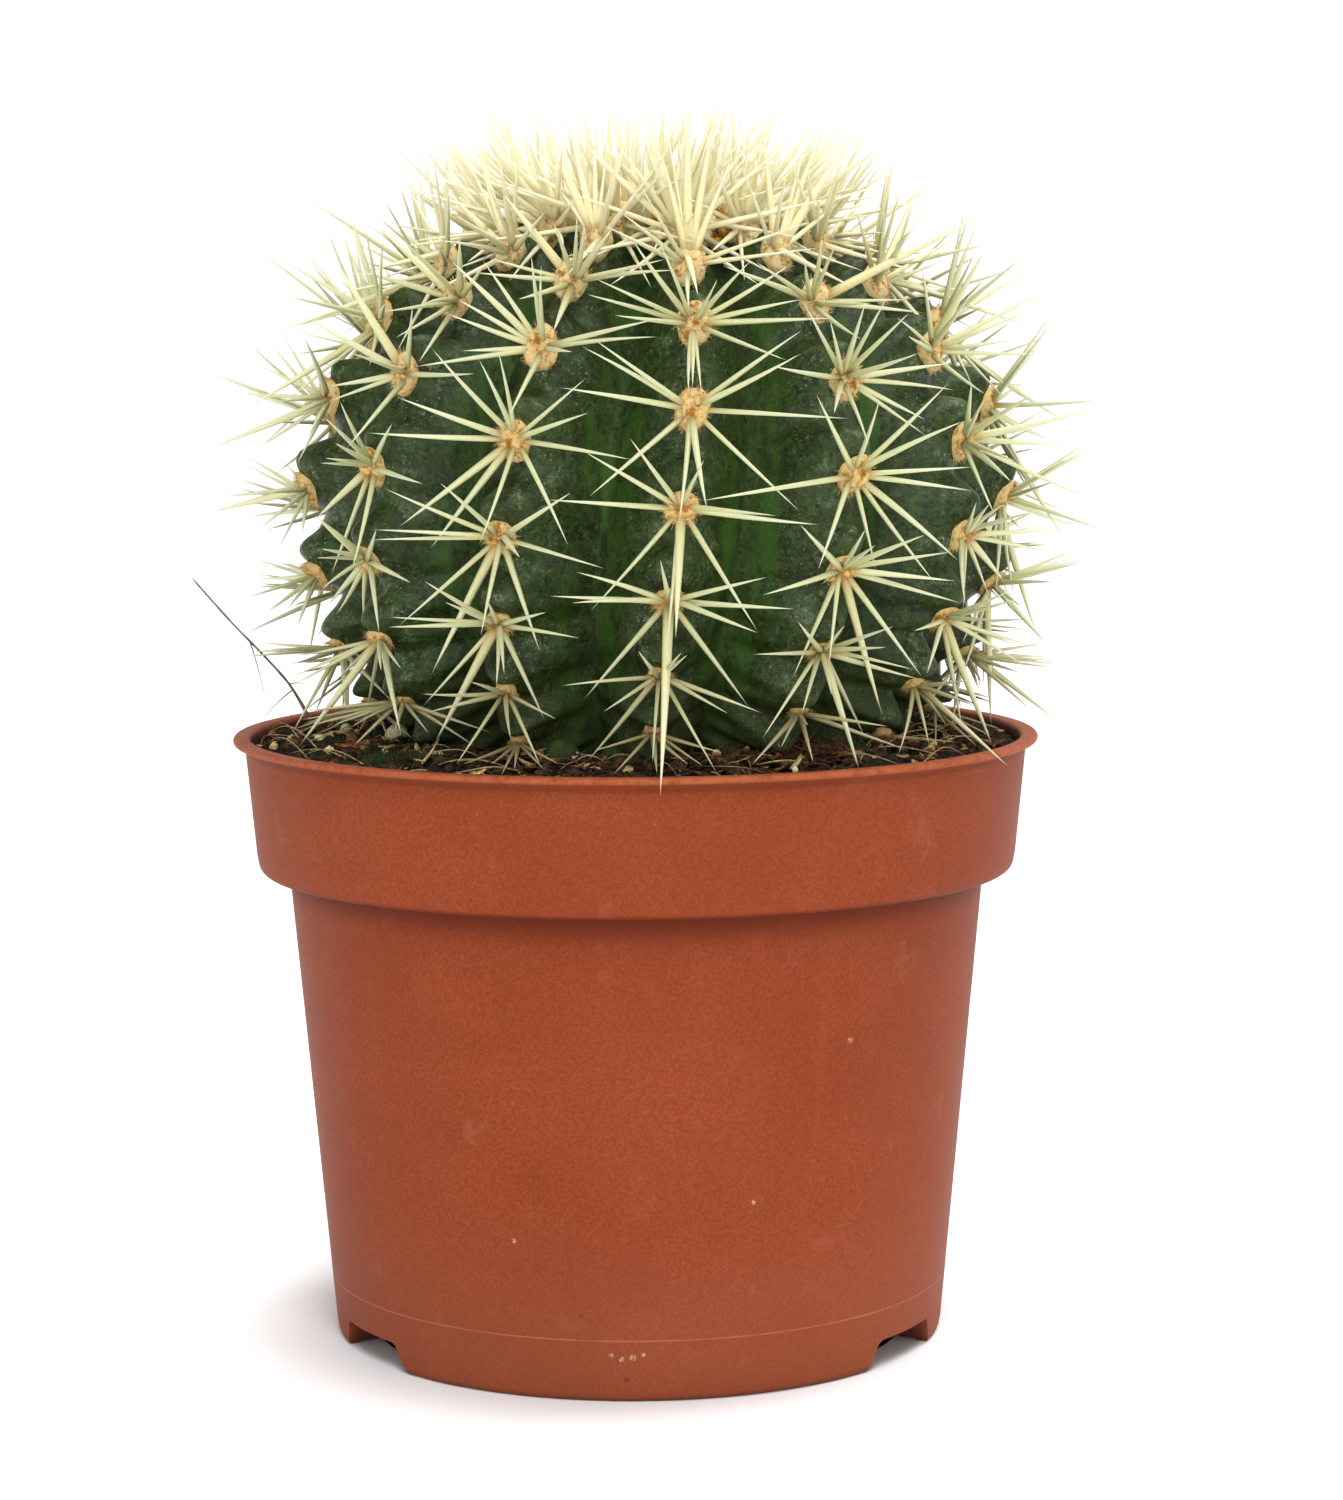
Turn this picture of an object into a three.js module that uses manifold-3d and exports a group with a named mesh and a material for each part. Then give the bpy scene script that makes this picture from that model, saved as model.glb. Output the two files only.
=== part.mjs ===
// A round golden-barrel cactus in a 12 cm plastic nursery pot, filled with potting soil.
// Millimetres, +Z up. The origin is the centre of the pot's foot, on the surface that it stands on,
// and the plant is seen from -Y. Azimuths are in degrees from the front (-Y), growing towards +X.
import * as THREE from "three";
import { mergeVertices } from "three/addons/utils/BufferGeometryUtils.js";
import Module from "manifold-3d";

const wasm = await Module();
wasm.setup();

// Driving dimensions of the pot
const POT_HEIGHT = 90;
const RIM_RADIUS = 60;
const LIP_THICKNESS = 1.1;
const COLLAR_TOP_RADIUS = 58.4;
const COLLAR_BOTTOM_RADIUS = 56.5;
const COLLAR_HEIGHT = 20;
const BODY_TOP_RADIUS = 52;
const FOOT_RADIUS = 45.7;
const FOOT_RING_WIDTH = 2.2;
const WALL = 1;
const FLOOR = 1.2;
const RECESS = 2;
const POT_SEGMENTS = 48;

// Drainage notches in the foot, each the mouth of a channel that runs in to a drain hole
const NOTCH_AZIMUTHS = [-58.9, 58.7, 180];
const NOTCH_HEIGHT = 4.3;
const NOTCH_TOP_WIDTH = 14.6;
const NOTCH_SLANT = 3;
const CHANNEL_INNER_RADIUS = 24;
const DRAIN_HOLE_RADIUS = 4;
const DRAIN_HOLE_AT = 31;

// Driving dimensions of the plant's flesh
const PLANT_OFFSET_X = 3;
const RIB_COUNT = 13;
const CREST_RADIUS = 52.3;
const EQUATOR_Z = 125.5;
const DOME_HEIGHT = 43;
const BELLY_DEPTH = 53.5;
const GROOVE_SHARE = 0.21;
const FLANK_POWER = 1.25;
const FRONT_RIB_AZIMUTH = 4.3;
const TWIST_PER_MM = 0.145;
const CREST_WAVE = 1.5;
const WAVE_LEAD = 0.27;

// Areoles climb each rib, and each rib's are a fixed share higher than those of the rib before it
const RIB_PHASE = 4 / RIB_COUNT;
const AREOLE_SPACING = 14.2;
const SHOULDER_INDEX = 1.3;
const SHOULDER_ARC = 57;
const UPPER_CROWDING = 3.6;
const LOWER_CROWDING = 5.8;
const LOWEST_AREOLE_Z = 92;
const PAD_RADIUS = 2.6;
const PAD_HEIGHT = 1.4;
const PAD_RIM_HEIGHT = 0.75;

// Spines: how each stands in its areole, as degrees round from straight up the rib and degrees off the skin.
// The two centrals come first, then the radials.
const SPINE_STANCES = [
  { turn: 180, raise: 49, share: 1.18 },
  { turn: 0, raise: 60, share: 1.1 },
  { turn: 57, raise: 30, share: 0.92 },
  { turn: -57, raise: 30, share: 0.92 },
  { turn: 126, raise: 20, share: 1 },
  { turn: -126, raise: 20, share: 1 },
];
const SPINE_RADIUS = 0.65;
const SPINE_LENGTH = 20.5;

// The plant's reach from the pot's axis, at which its outermost spines end
const REACH_X = [-69, 69.8];
const REACH_Y = [-68.8, 68.8];
const REACH_TOP = 183;

// The woolly crown, a cushion that fills the dimple at the top
const CROWN_RADIUS = 17.5;
const CROWN_FLOOR_Z = 160;
const CROWN_EDGE_Z = 165;
const CROWN_TOP_Z = 167.5;
const CROWN_SPINE_COUNT = 95;
const CROWN_SPINE_LENGTH = 16.5;
const CROWN_SPINE_RADIUS = 0.55;

// Soil, filled to a few millimetres below the rim and heaped a little round the plant
const SOIL_EDGE_Z = 87;
const SOIL_MOUND = 2.2;
const SOIL_SEGMENTS = 48;
const ROOT_DEPTH_Z = 46;

// Clearances between neighbouring pieces
const CLEARANCE = 0.35;
const SPINE_CLEARANCE = 0.9;

// Grains and bark chips that lie on the soil: where, how wide and how tall
const GRAINS = [
  { name: "perlite_grain_1", x: -35.2, y: -9.9, width: 4.2, height: 3.2, turn: 20 },
  { name: "perlite_grain_2", x: -52, y: 5, width: 3.2, height: 2.2, turn: 70 },
  { name: "perlite_grain_3", x: -43.5, y: 0.5, width: 2.6, height: 2, turn: 130 },
  { name: "perlite_grain_4", x: 31, y: 39.5, width: 3.4, height: 2.6, turn: 200 },
  { name: "perlite_grain_5", x: 48, y: 22, width: 2.6, height: 2, turn: 300 },
];
const CHIPS = [
  { name: "bark_chip_1", x: -38.5, y: -19.5, width: 7, height: 1.8, turn: 15 },
  { name: "bark_chip_2", x: 31, y: -33, width: 6.5, height: 2, turn: 150 },
  { name: "bark_chip_3", x: -11, y: 48, width: 8, height: 1.8, turn: 60 },
];
const SEAT_DEPTH = 0.6;

// A dry grass stalk that stands in the soil at the back left and leans out over the rim
const STALK_RADIUS = 0.35;
const STALK_POINTS = [
  [-49.2, 19, 79],
  [-49.6, 19.3, 87.5],
  [-51.5, 20, 91.3],
  [-53.9, 20, 95.5],
  [-58.3, 20, 100.4],
  [-62.6, 20, 104.8],
  [-68.6, 20, 111.8],
];

const radians = THREE.MathUtils.degToRad;

// A repeatable draw between 0 and 1 for a place given by up to four numbers
function draw(a, b = 0, c = 0, d = 0) {
  const x = Math.sin(a * 127.1 + b * 311.7 + c * 74.7 + d * 19.19) * 43758.5453;
  return x - Math.floor(x);
}

// A horizontal direction at an azimuth
function outward(azimuth) {
  return new THREE.Vector3(Math.sin(azimuth), -Math.cos(azimuth), 0);
}

// Turns a closed geometry into a solid, with its shared vertices merged
function solidOf(geometry) {
  const loose = geometry.index ? geometry.toNonIndexed() : geometry;
  const bare = new THREE.BufferGeometry();
  bare.setAttribute("position", loose.getAttribute("position"));
  const merged = mergeVertices(bare, 1e-4);
  const index = merged.index.array;
  const faces = [];
  for (let i = 0; i < index.length; i += 3) {
    const [a, b, c] = [index[i], index[i + 1], index[i + 2]];
    if (a !== b && b !== c && c !== a) faces.push(a, b, c);
  }
  const vertProperties = merged.attributes.position.array;
  return new wasm.Manifold(
    new wasm.Mesh({ numProp: 3, vertProperties, triVerts: new Uint32Array(faces) }),
  );
}

// Turns a solid back into a geometry
function geometryOf(solid) {
  const mesh = solid.getMesh();
  const geometry = new THREE.BufferGeometry();
  geometry.setAttribute("position", new THREE.BufferAttribute(mesh.vertProperties, 3));
  geometry.setIndex(new THREE.BufferAttribute(mesh.triVerts, 1));
  geometry.computeVertexNormals();
  return geometry;
}

// The outer shell of a solid, without the hollows and scraps that joining its parts can leave
function outerShell(solid) {
  return solid.decompose().reduce((largest, shell) =>
    shell.volume() > largest.volume() ? shell : largest,
  );
}

// A geometry from a list of triangles, each three points
function geometryFrom(triangles) {
  const positions = triangles.flatMap((triangle) => triangle.flatMap((point) => point.toArray()));
  const geometry = new THREE.BufferGeometry();
  geometry.setAttribute("position", new THREE.Float32BufferAttribute(positions, 3));
  return geometry;
}

// A solid of revolution about Z, from a profile of [radius, height]
function lathe(profile, segments) {
  const geometry = new THREE.LatheGeometry(
    profile.map(([r, z]) => new THREE.Vector2(r, z)),
    segments,
  );
  geometry.rotateX(Math.PI / 2);
  return solidOf(geometry);
}

// The triangles between two rings of equally many points
function band(lower, upper) {
  return lower.flatMap((point, i) => {
    const next = (i + 1) % lower.length;
    return [
      [point, lower[next], upper[next]],
      [point, upper[next], upper[i]],
    ];
  });
}

// A closed skin over rings of points, from a bottom pole up to a top pole
function skinOver(bottomPole, rings, topPole) {
  const triangles = [];
  const last = rings.at(-1);
  rings[0].forEach((point, i) => {
    const next = (i + 1) % rings[0].length;
    triangles.push([bottomPole, rings[0][next], point], [last[i], last[next], topPole]);
  });
  for (let j = 0; j + 1 < rings.length; j++) triangles.push(...band(rings[j], rings[j + 1]));
  return triangles;
}

// The pot

const COLLAR_Z = POT_HEIGHT - COLLAR_HEIGHT;
const FLOOR_TOP = RECESS + FLOOR;

function potOutside() {
  return [
    [0, RECESS],
    [FOOT_RADIUS - FOOT_RING_WIDTH, RECESS],
    [FOOT_RADIUS - FOOT_RING_WIDTH, 0],
    [FOOT_RADIUS, 0],
    [BODY_TOP_RADIUS, COLLAR_Z],
    [COLLAR_BOTTOM_RADIUS - 0.6, COLLAR_Z],
    [COLLAR_BOTTOM_RADIUS, COLLAR_Z + 0.6],
    [COLLAR_TOP_RADIUS, POT_HEIGHT - LIP_THICKNESS],
    [RIM_RADIUS - 0.3, POT_HEIGHT - LIP_THICKNESS],
    [RIM_RADIUS, POT_HEIGHT - LIP_THICKNESS / 2],
    [RIM_RADIUS - 0.6, POT_HEIGHT],
  ];
}

// The inner wall from the top down: it follows the outside one wall thickness in
function potInside(gap = 0) {
  return [
    [COLLAR_TOP_RADIUS - WALL - gap, POT_HEIGHT],
    [COLLAR_BOTTOM_RADIUS - WALL - gap, COLLAR_Z + WALL + gap],
    [BODY_TOP_RADIUS - WALL - gap, COLLAR_Z + WALL + gap],
    [FOOT_RADIUS - WALL + 0.2 - gap, FLOOR_TOP + gap],
    [0, FLOOR_TOP + gap],
  ];
}

// The radius of the collar's inner wall at a height
function collarInside(z) {
  const [[topRadius, top], [bottomRadius, bottom]] = potInside();
  return bottomRadius + ((topRadius - bottomRadius) * (z - bottom)) / (top - bottom);
}

// A bar with the notch's section, grown on its top and sides, that runs in along a channel
function channelBar(azimuth, grow, innerRadius, outerRadius, bottom) {
  const half = NOTCH_TOP_WIDTH / 2 + grow;
  const top = NOTCH_HEIGHT + grow;
  const section = new THREE.Shape([
    new THREE.Vector2(-half - NOTCH_SLANT, bottom),
    new THREE.Vector2(half + NOTCH_SLANT, bottom),
    new THREE.Vector2(half + 0.8, top - 1),
    new THREE.Vector2(half - 0.6, top),
    new THREE.Vector2(-half + 0.6, top),
    new THREE.Vector2(-half - 0.8, top - 1),
  ]);
  const depth = outerRadius - innerRadius;
  const bar = new THREE.ExtrudeGeometry(section, { depth, bevelEnabled: false });
  bar.rotateX(Math.PI / 2);
  bar.translate(0, -innerRadius, 0);
  bar.rotateZ(radians(azimuth));
  return solidOf(bar);
}

function drainHole(azimuth) {
  const hole = new THREE.CylinderGeometry(DRAIN_HOLE_RADIUS, DRAIN_HOLE_RADIUS, 20, 12);
  hole.rotateX(Math.PI / 2);
  const at = outward(radians(azimuth)).multiplyScalar(DRAIN_HOLE_AT);
  hole.translate(at.x, at.y, 0);
  return solidOf(hole);
}

function makePot() {
  let pot = lathe([...potOutside(), ...potInside()], POT_SEGMENTS);
  for (const azimuth of NOTCH_AZIMUTHS) {
    const cover = channelBar(
      azimuth,
      FLOOR,
      CHANNEL_INNER_RADIUS - FLOOR,
      FOOT_RADIUS - WALL / 2,
      RECESS,
    );
    const channel = channelBar(azimuth, 0, CHANNEL_INNER_RADIUS, RIM_RADIUS, -1);
    pot = pot.add(cover).subtract(channel).subtract(drainHole(azimuth));
  }
  return pot;
}

// The plant's flesh

// Points along the crest from the apex down, with the arc length to each
const CREST_STEPS = 720;
const crestLine = [];
for (let i = 0; i <= CREST_STEPS; i++) {
  const angle = (Math.PI * i) / CREST_STEPS;
  const r = CREST_RADIUS * Math.sin(angle);
  const half = angle < Math.PI / 2 ? DOME_HEIGHT : BELLY_DEPTH;
  const z = EQUATOR_Z + half * Math.cos(angle);
  const last = crestLine.at(-1);
  const arc = last ? last.arc + Math.hypot(r - last.r, z - last.z) : 0;
  crestLine.push({ r, z, arc });
}

// The crest's radius, height and outward normal at an arc length from the apex
function crestAt(arc) {
  const above = crestLine.findIndex((point) => point.arc > arc);
  const [a, b] = [crestLine[above - 1], crestLine[above]];
  const t = (arc - a.arc) / (b.arc - a.arc);
  const length = Math.hypot(b.r - a.r, b.z - a.z);
  return {
    r: a.r + t * (b.r - a.r),
    z: a.z + t * (b.z - a.z),
    normalR: (a.z - b.z) / length,
    normalZ: (b.r - a.r) / length,
  };
}

// The arc length from the apex to a place on a rib, counted in areoles upwards from near the equator
function areoleArc(index) {
  const crowding = index > SHOULDER_INDEX ? UPPER_CROWDING : LOWER_CROWDING;
  return SHOULDER_ARC - crowding * AREOLE_SPACING * Math.tanh((index - SHOULDER_INDEX) / crowding);
}

function ribPhase(rib) {
  const phase = (rib % RIB_COUNT) * RIB_PHASE;
  return phase - Math.floor(phase);
}

// A point of the flesh: across is -0.5 to 0.5 from groove to groove over the rib's crest
function fleshPoint(rib, across, index, grow = 0) {
  const crest = crestAt(areoleArc(index));
  const flank = Math.abs(2 * across);
  const wave = Math.cos(2 * Math.PI * (index - ribPhase(rib) - WAVE_LEAD));
  const groove = GROOVE_SHARE * crest.r * flank ** FLANK_POWER;
  const depth = groove - CREST_WAVE * wave * (1 - flank) - grow;
  const turn =
    FRONT_RIB_AZIMUTH + ((rib + across) * 360) / RIB_COUNT + TWIST_PER_MM * (crest.z - EQUATOR_Z);
  const point = outward(radians(turn)).multiplyScalar(crest.r - depth * crest.normalR);
  return point.add(new THREE.Vector3(PLANT_OFFSET_X, 0, crest.z - depth * crest.normalZ));
}

// The skin's grid: each areole lies on a point of it, because a rib's rows are moved to suit its areoles
const ROWS_PER_AREOLE = 3;
const COLUMNS_PER_RIB = 4;
const UNDERGROUND_ROWS = [-16];
const FIRST_ROW = -13;
const TOP_ROW = 15;

function nearestRow(rib) {
  return Math.round(ribPhase(rib) * ROWS_PER_AREOLE);
}

function rowShift(rib) {
  return ribPhase(rib) - nearestRow(rib) / ROWS_PER_AREOLE;
}

function fleshRing(row, grow) {
  const ring = [];
  for (let rib = 0; rib < RIB_COUNT; rib++) {
    for (let column = 0; column < COLUMNS_PER_RIB; column++) {
      const across = column / COLUMNS_PER_RIB;
      const shift = THREE.MathUtils.lerp(rowShift(rib), rowShift(rib + 1), across);
      const index = row / ROWS_PER_AREOLE + shift;
      const onNextRib = across > 0.5;
      ring.push(fleshPoint(rib + Number(onNextRib), across - Number(onNextRib), index, grow));
    }
  }
  return ring;
}

// A plain ring of the taproot, in line with the skin's columns
function rootRing(radius, z) {
  const count = RIB_COUNT * COLUMNS_PER_RIB;
  return Array.from({ length: count }, (_, i) => {
    const turn = FRONT_RIB_AZIMUTH + (360 * i) / count + TWIST_PER_MM * (z - EQUATOR_Z);
    return outward(radians(turn)).multiplyScalar(radius).add(new THREE.Vector3(PLANT_OFFSET_X, 0, z));
  });
}

// The rings of the flesh from the taproot up to a row, with the skin moved out by grow
function fleshRings(lastRow, grow = 0) {
  const rings = [rootRing(4 + grow, ROOT_DEPTH_Z - grow), rootRing(13 + grow, 70)];
  for (const row of UNDERGROUND_ROWS) rings.push(fleshRing(row, grow));
  for (let row = FIRST_ROW; row <= lastRow; row++) rings.push(fleshRing(row, grow));
  return rings;
}

function fleshSkin(rings) {
  const bottom = new THREE.Vector3(PLANT_OFFSET_X, 0, rings[0][0].z);
  const top = new THREE.Vector3(PLANT_OFFSET_X, 0, rings.at(-1)[0].z);
  return skinOver(bottom, rings, top);
}

// The place in the rings of an areole's point
function areoleSpot({ rib, number }) {
  const row = ROWS_PER_AREOLE * number + nearestRow(rib);
  return { j: row - FIRST_ROW + 2 + UNDERGROUND_ROWS.length, i: rib * COLUMNS_PER_RIB };
}

// The radius of an areole's cushion, less on the youngest ones, which crowd together
function padSize(areole) {
  return PAD_RADIUS * (1 - 0.3 * THREE.MathUtils.smoothstep(areole.index, 2.5, 5));
}

// A direction along the skin, turned from straight up the rib
function skinDirection(areole, turn) {
  const direction = areole.up.clone().multiplyScalar(Math.cos(radians(turn)));
  return direction.addScaledVector(areole.side, Math.sin(radians(turn)));
}

// Raises a cushion on the skin round an areole's point: a ring of six points and a higher middle
function raiseCushion(triangles, rings, areole) {
  const { i, j } = areoleSpot(areole);
  const count = rings[0].length;
  const [left, right] = [(i + count - 1) % count, (i + 1) % count];
  const at = rings[j][i];
  const round = [
    rings[j][right],
    rings[j + 1][right],
    rings[j + 1][i],
    rings[j][left],
    rings[j - 1][left],
    rings[j - 1][i],
  ];
  const size = padSize(areole);
  const ring = round.map((_, k) =>
    at
      .clone()
      .addScaledVector(skinDirection(areole, 90 - 60 * k), size)
      .addScaledVector(areole.out, PAD_RIM_HEIGHT),
  );
  const middle = at.clone().addScaledVector(areole.out, PAD_HEIGHT);
  const kept = triangles.filter((triangle) => !triangle.includes(at));
  for (let k = 0; k < round.length; k++) {
    const next = (k + 1) % round.length;
    kept.push([ring[k], round[k], round[next]], [ring[k], round[next], ring[next]]);
    kept.push([ring[k], ring[next], middle]);
  }
  return kept;
}

// Areoles

// Every areole of the plant, rib by rib from the foot up, with its directions up the rib, sideways and out
function allAreoles() {
  const step = 0.04;
  const found = [];
  for (let rib = 0; rib < RIB_COUNT; rib++) {
    for (let number = -4; number <= 5; number++) {
      const index = number + ribPhase(rib);
      const at = fleshPoint(rib, 0, index);
      const up = fleshPoint(rib, 0, index + step).sub(fleshPoint(rib, 0, index - step)).normalize();
      const side = new THREE.Vector3(-at.y, at.x - PLANT_OFFSET_X, 0).normalize();
      const out = new THREE.Vector3().crossVectors(side, up).normalize();
      const radius = Math.hypot(at.x - PLANT_OFFSET_X, at.y);
      found.push({ rib, number, index, at, up, side, out, radius });
    }
  }
  return found;
}

const ribAreoles = allAreoles().filter(
  (areole) => areole.radius > CROWN_RADIUS + PAD_RADIUS && areole.at.z > LOWEST_AREOLE_Z,
);

// Soil

// The soil's height: a low mound round the plant, with small lumps
function soilHeight(x, y) {
  const mound = SOIL_MOUND * (1 - THREE.MathUtils.smoothstep(Math.hypot(x, y), 42, 56));
  const lumps = 0.35 * Math.sin(x * 0.31 + 1.3) * Math.cos(y * 0.27) + 0.25 * Math.sin((x + y) * 0.55);
  return SOIL_EDGE_Z + mound + lumps;
}

function seatHeight(item) {
  return soilHeight(item.x, item.y) - SEAT_DEPTH;
}

// What a spine may not go below: the soil, what lies on it and the pot's rim
function groundHeight(x, y) {
  const r = Math.hypot(x, y);
  if (r > RIM_RADIUS + SPINE_CLEARANCE) return 0;
  if (r > COLLAR_TOP_RADIUS - WALL - SPINE_CLEARANCE) return POT_HEIGHT;
  const tops = [...GRAINS, ...CHIPS]
    .filter((item) => Math.hypot(x - item.x, y - item.y) < item.width / 2 + SPINE_CLEARANCE)
    .map((item) => seatHeight(item) + CLEARANCE + item.height);
  return Math.max(soilHeight(x, y), ...tops);
}

// A flat-bottomed prism from a seat upwards, that makes room for what lies there
function seatPocket(item) {
  const radius = item.width / 2 + 0.6;
  const pocket = new THREE.CylinderGeometry(radius, radius, SOIL_MOUND * 2, 8);
  pocket.rotateX(Math.PI / 2);
  pocket.translate(item.x, item.y, seatHeight(item) + SOIL_MOUND);
  return solidOf(pocket);
}

function makeSoil() {
  const ring = (radius, height) =>
    Array.from({ length: SOIL_SEGMENTS }, (_, i) => {
      const point = outward((2 * Math.PI * i) / SOIL_SEGMENTS).multiplyScalar(radius);
      return point.setZ(height ?? soilHeight(point.x, point.y));
    });
  const [, ...walls] = potInside(CLEARANCE).slice(0, -1);
  const rings = walls.reverse().map(([r, z]) => ring(r, z));
  const edge = collarInside(SOIL_EDGE_Z - 1) - CLEARANCE;
  for (const radius of [edge, 51, 44]) rings.push(ring(radius));
  const bottom = new THREE.Vector3(0, 0, FLOOR_TOP + CLEARANCE);
  const top = new THREE.Vector3(0, 0, SOIL_EDGE_Z + SOIL_MOUND);
  const roots = geometryFrom(fleshSkin(fleshRings(-9, CLEARANCE * 1.4)));
  let soil = solidOf(geometryFrom(skinOver(bottom, rings, top))).subtract(solidOf(roots));
  for (const azimuth of NOTCH_AZIMUTHS) {
    const inner = CHANNEL_INNER_RADIUS - FLOOR - CLEARANCE;
    soil = soil.subtract(channelBar(azimuth, FLOOR + CLEARANCE, inner, FOOT_RADIUS, 0));
  }
  for (const item of [...GRAINS, ...CHIPS]) soil = soil.subtract(seatPocket(item));
  return outerShell(soil.subtract(stalk(STALK_RADIUS + CLEARANCE)));
}

// An irregular grain or chip: a squashed, faceted ball with a flat underside
function makeGrain(item, seed, sides, squash) {
  const up = new THREE.Vector3(0, 0, 1);
  const base = new THREE.Vector3(item.x, item.y, seatHeight(item) + CLEARANCE);
  const ring = (share, height, salt) =>
    Array.from({ length: sides }, (_, i) => {
      const reach = (item.width / 2) * share * (0.75 + 0.25 * draw(seed, salt, i));
      const spot = outward(radians((360 * (i + 0.3 * draw(seed, salt, i, 7))) / sides));
      spot.multiplyScalar(reach);
      spot.y *= squash;
      spot.applyAxisAngle(up, radians(item.turn));
      return spot.add(base).addScaledVector(up, item.height * height);
    });
  const rings = [ring(0.7, 0, 1), ring(1, 0.4, 2), ring(0.75, 0.85, 3)];
  return solidOf(geometryFrom(skinOver(base, rings, base.clone().addScaledVector(up, item.height))));
}

// The stalk

const stalkCurve = new THREE.CatmullRomCurve3(STALK_POINTS.map((point) => new THREE.Vector3(...point)));
const STALK_LINE = stalkCurve.getPoints(14);

function stalk(radius) {
  const sides = 5;
  const corners = Array.from({ length: sides }, (_, i) => {
    const angle = (2 * Math.PI * i) / sides;
    return new THREE.Vector2(radius * Math.cos(angle), radius * Math.sin(angle));
  });
  const settings = { steps: 14, extrudePath: stalkCurve, bevelEnabled: false };
  return solidOf(new THREE.ExtrudeGeometry(new THREE.Shape(corners), settings));
}

// Spines

// The direction of a spine: turned from straight up the rib, and raised from the skin
function spineDirection(areole, turn, raise) {
  const direction = skinDirection(areole, turn).multiplyScalar(Math.cos(radians(raise)));
  return direction.addScaledVector(areole.out, Math.sin(radians(raise)));
}

// The length that a spine may have before it passes the plant's reach
function withinReach(from, direction, length) {
  const limits = [
    [from.x, direction.x, REACH_X],
    [from.y, direction.y, REACH_Y],
    [from.z, direction.z, [0, REACH_TOP]],
  ];
  const allowed = limits.map(([start, step, [low, high]]) =>
    Math.abs(step) < 1e-6 ? length : ((step > 0 ? high : low) - start) / step,
  );
  return Math.min(length, ...allowed);
}

// Whether a spine stays clear of the ground, past its root
function clearsGround({ from, tip }) {
  for (let share = 0.25; share <= 1; share += 0.125) {
    const point = from.clone().lerp(tip, share);
    if (point.z < groundHeight(point.x, point.y) + SPINE_CLEARANCE) return false;
  }
  return true;
}

// The nearest distance between the free lengths of two spines
function spineGap(a, b) {
  const line = new THREE.Line3(b.free, b.tip);
  const nearest = new THREE.Vector3();
  let least = Infinity;
  for (let share = 0; share <= 1; share += 0.1) {
    const point = a.free.clone().lerp(a.tip, share);
    line.closestPointToPoint(point, true, nearest);
    least = Math.min(least, point.distanceTo(nearest));
  }
  return least;
}

function clearsAll(spine, others) {
  return others.every((other) => {
    if (spine.tip.distanceTo(other.tip) > 3 * SPINE_LENGTH) return true;
    return spineGap(spine, other) > spine.radius + other.radius;
  });
}

// A spine from its root, with the part that stands free of its areole and its tip
function makeSpine(root, direction, length, radius) {
  const reach = withinReach(root, direction, length);
  return {
    from: root,
    free: root.clone().addScaledVector(direction, 2),
    tip: root.clone().addScaledVector(direction, reach),
    radius,
  };
}

const stalkPieces = STALK_LINE.slice(1).map((tip, i) => {
  const from = STALK_LINE[i];
  return { from, free: from, tip, radius: STALK_RADIUS + SPINE_CLEARANCE };
});

// Small turns and raises that a spine tries in order until it is clear of all else
const SPINE_NUDGES = [
  [0, 0],
  [9, 0],
  [-9, 0],
  [0, 8],
  [16, 5],
  [-16, 5],
  [0, 16],
  [10, 22],
  [-10, 22],
  [0, 32],
];

// One spine of an areole, rooted in its own sixth of the cushion, or nothing where it finds no room
function placeSpine(areole, slot, placed) {
  const stance = SPINE_STANCES[slot];
  const wander = (salt) => draw(areole.rib, areole.number, slot, salt) - 0.5;
  const age = THREE.MathUtils.smoothstep(areole.index, -4, 3);
  const length = SPINE_LENGTH * stance.share * (0.82 + 0.18 * age) * (1 + 0.2 * wander(3));
  const root = areole.at.clone().addScaledVector(areole.out, (PAD_HEIGHT + 2 * PAD_RIM_HEIGHT) / 3);
  root.addScaledVector(skinDirection(areole, 60 * Math.round(stance.turn / 60)), 0.56 * padSize(areole));
  for (const [turnNudge, raiseNudge] of SPINE_NUDGES) {
    const turn = stance.turn + 12 * wander(1) + turnNudge;
    const raise = stance.raise + 8 * wander(2) + raiseNudge;
    const spine = makeSpine(root, spineDirection(areole, turn, raise), length, SPINE_RADIUS);
    const aside = Math.hypot(spine.tip.x - PLANT_OFFSET_X, spine.tip.y) > CROWN_RADIUS + 1.5;
    if (aside && clearsGround(spine) && clearsAll(spine, placed)) return spine;
  }
  return null;
}

function placeRibSpines() {
  const placed = [];
  for (let slot = 0; slot < SPINE_STANCES.length; slot++) {
    for (const areole of ribAreoles) {
      const spine = placeSpine(areole, slot, [...placed, ...stalkPieces]);
      if (spine) placed.push(spine);
    }
  }
  return placed;
}

// The spines of the crown fill it evenly along a golden-angle spiral, and lean outwards towards its edge
const GOLDEN_ANGLE = Math.PI * (3 - Math.sqrt(5));

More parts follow.
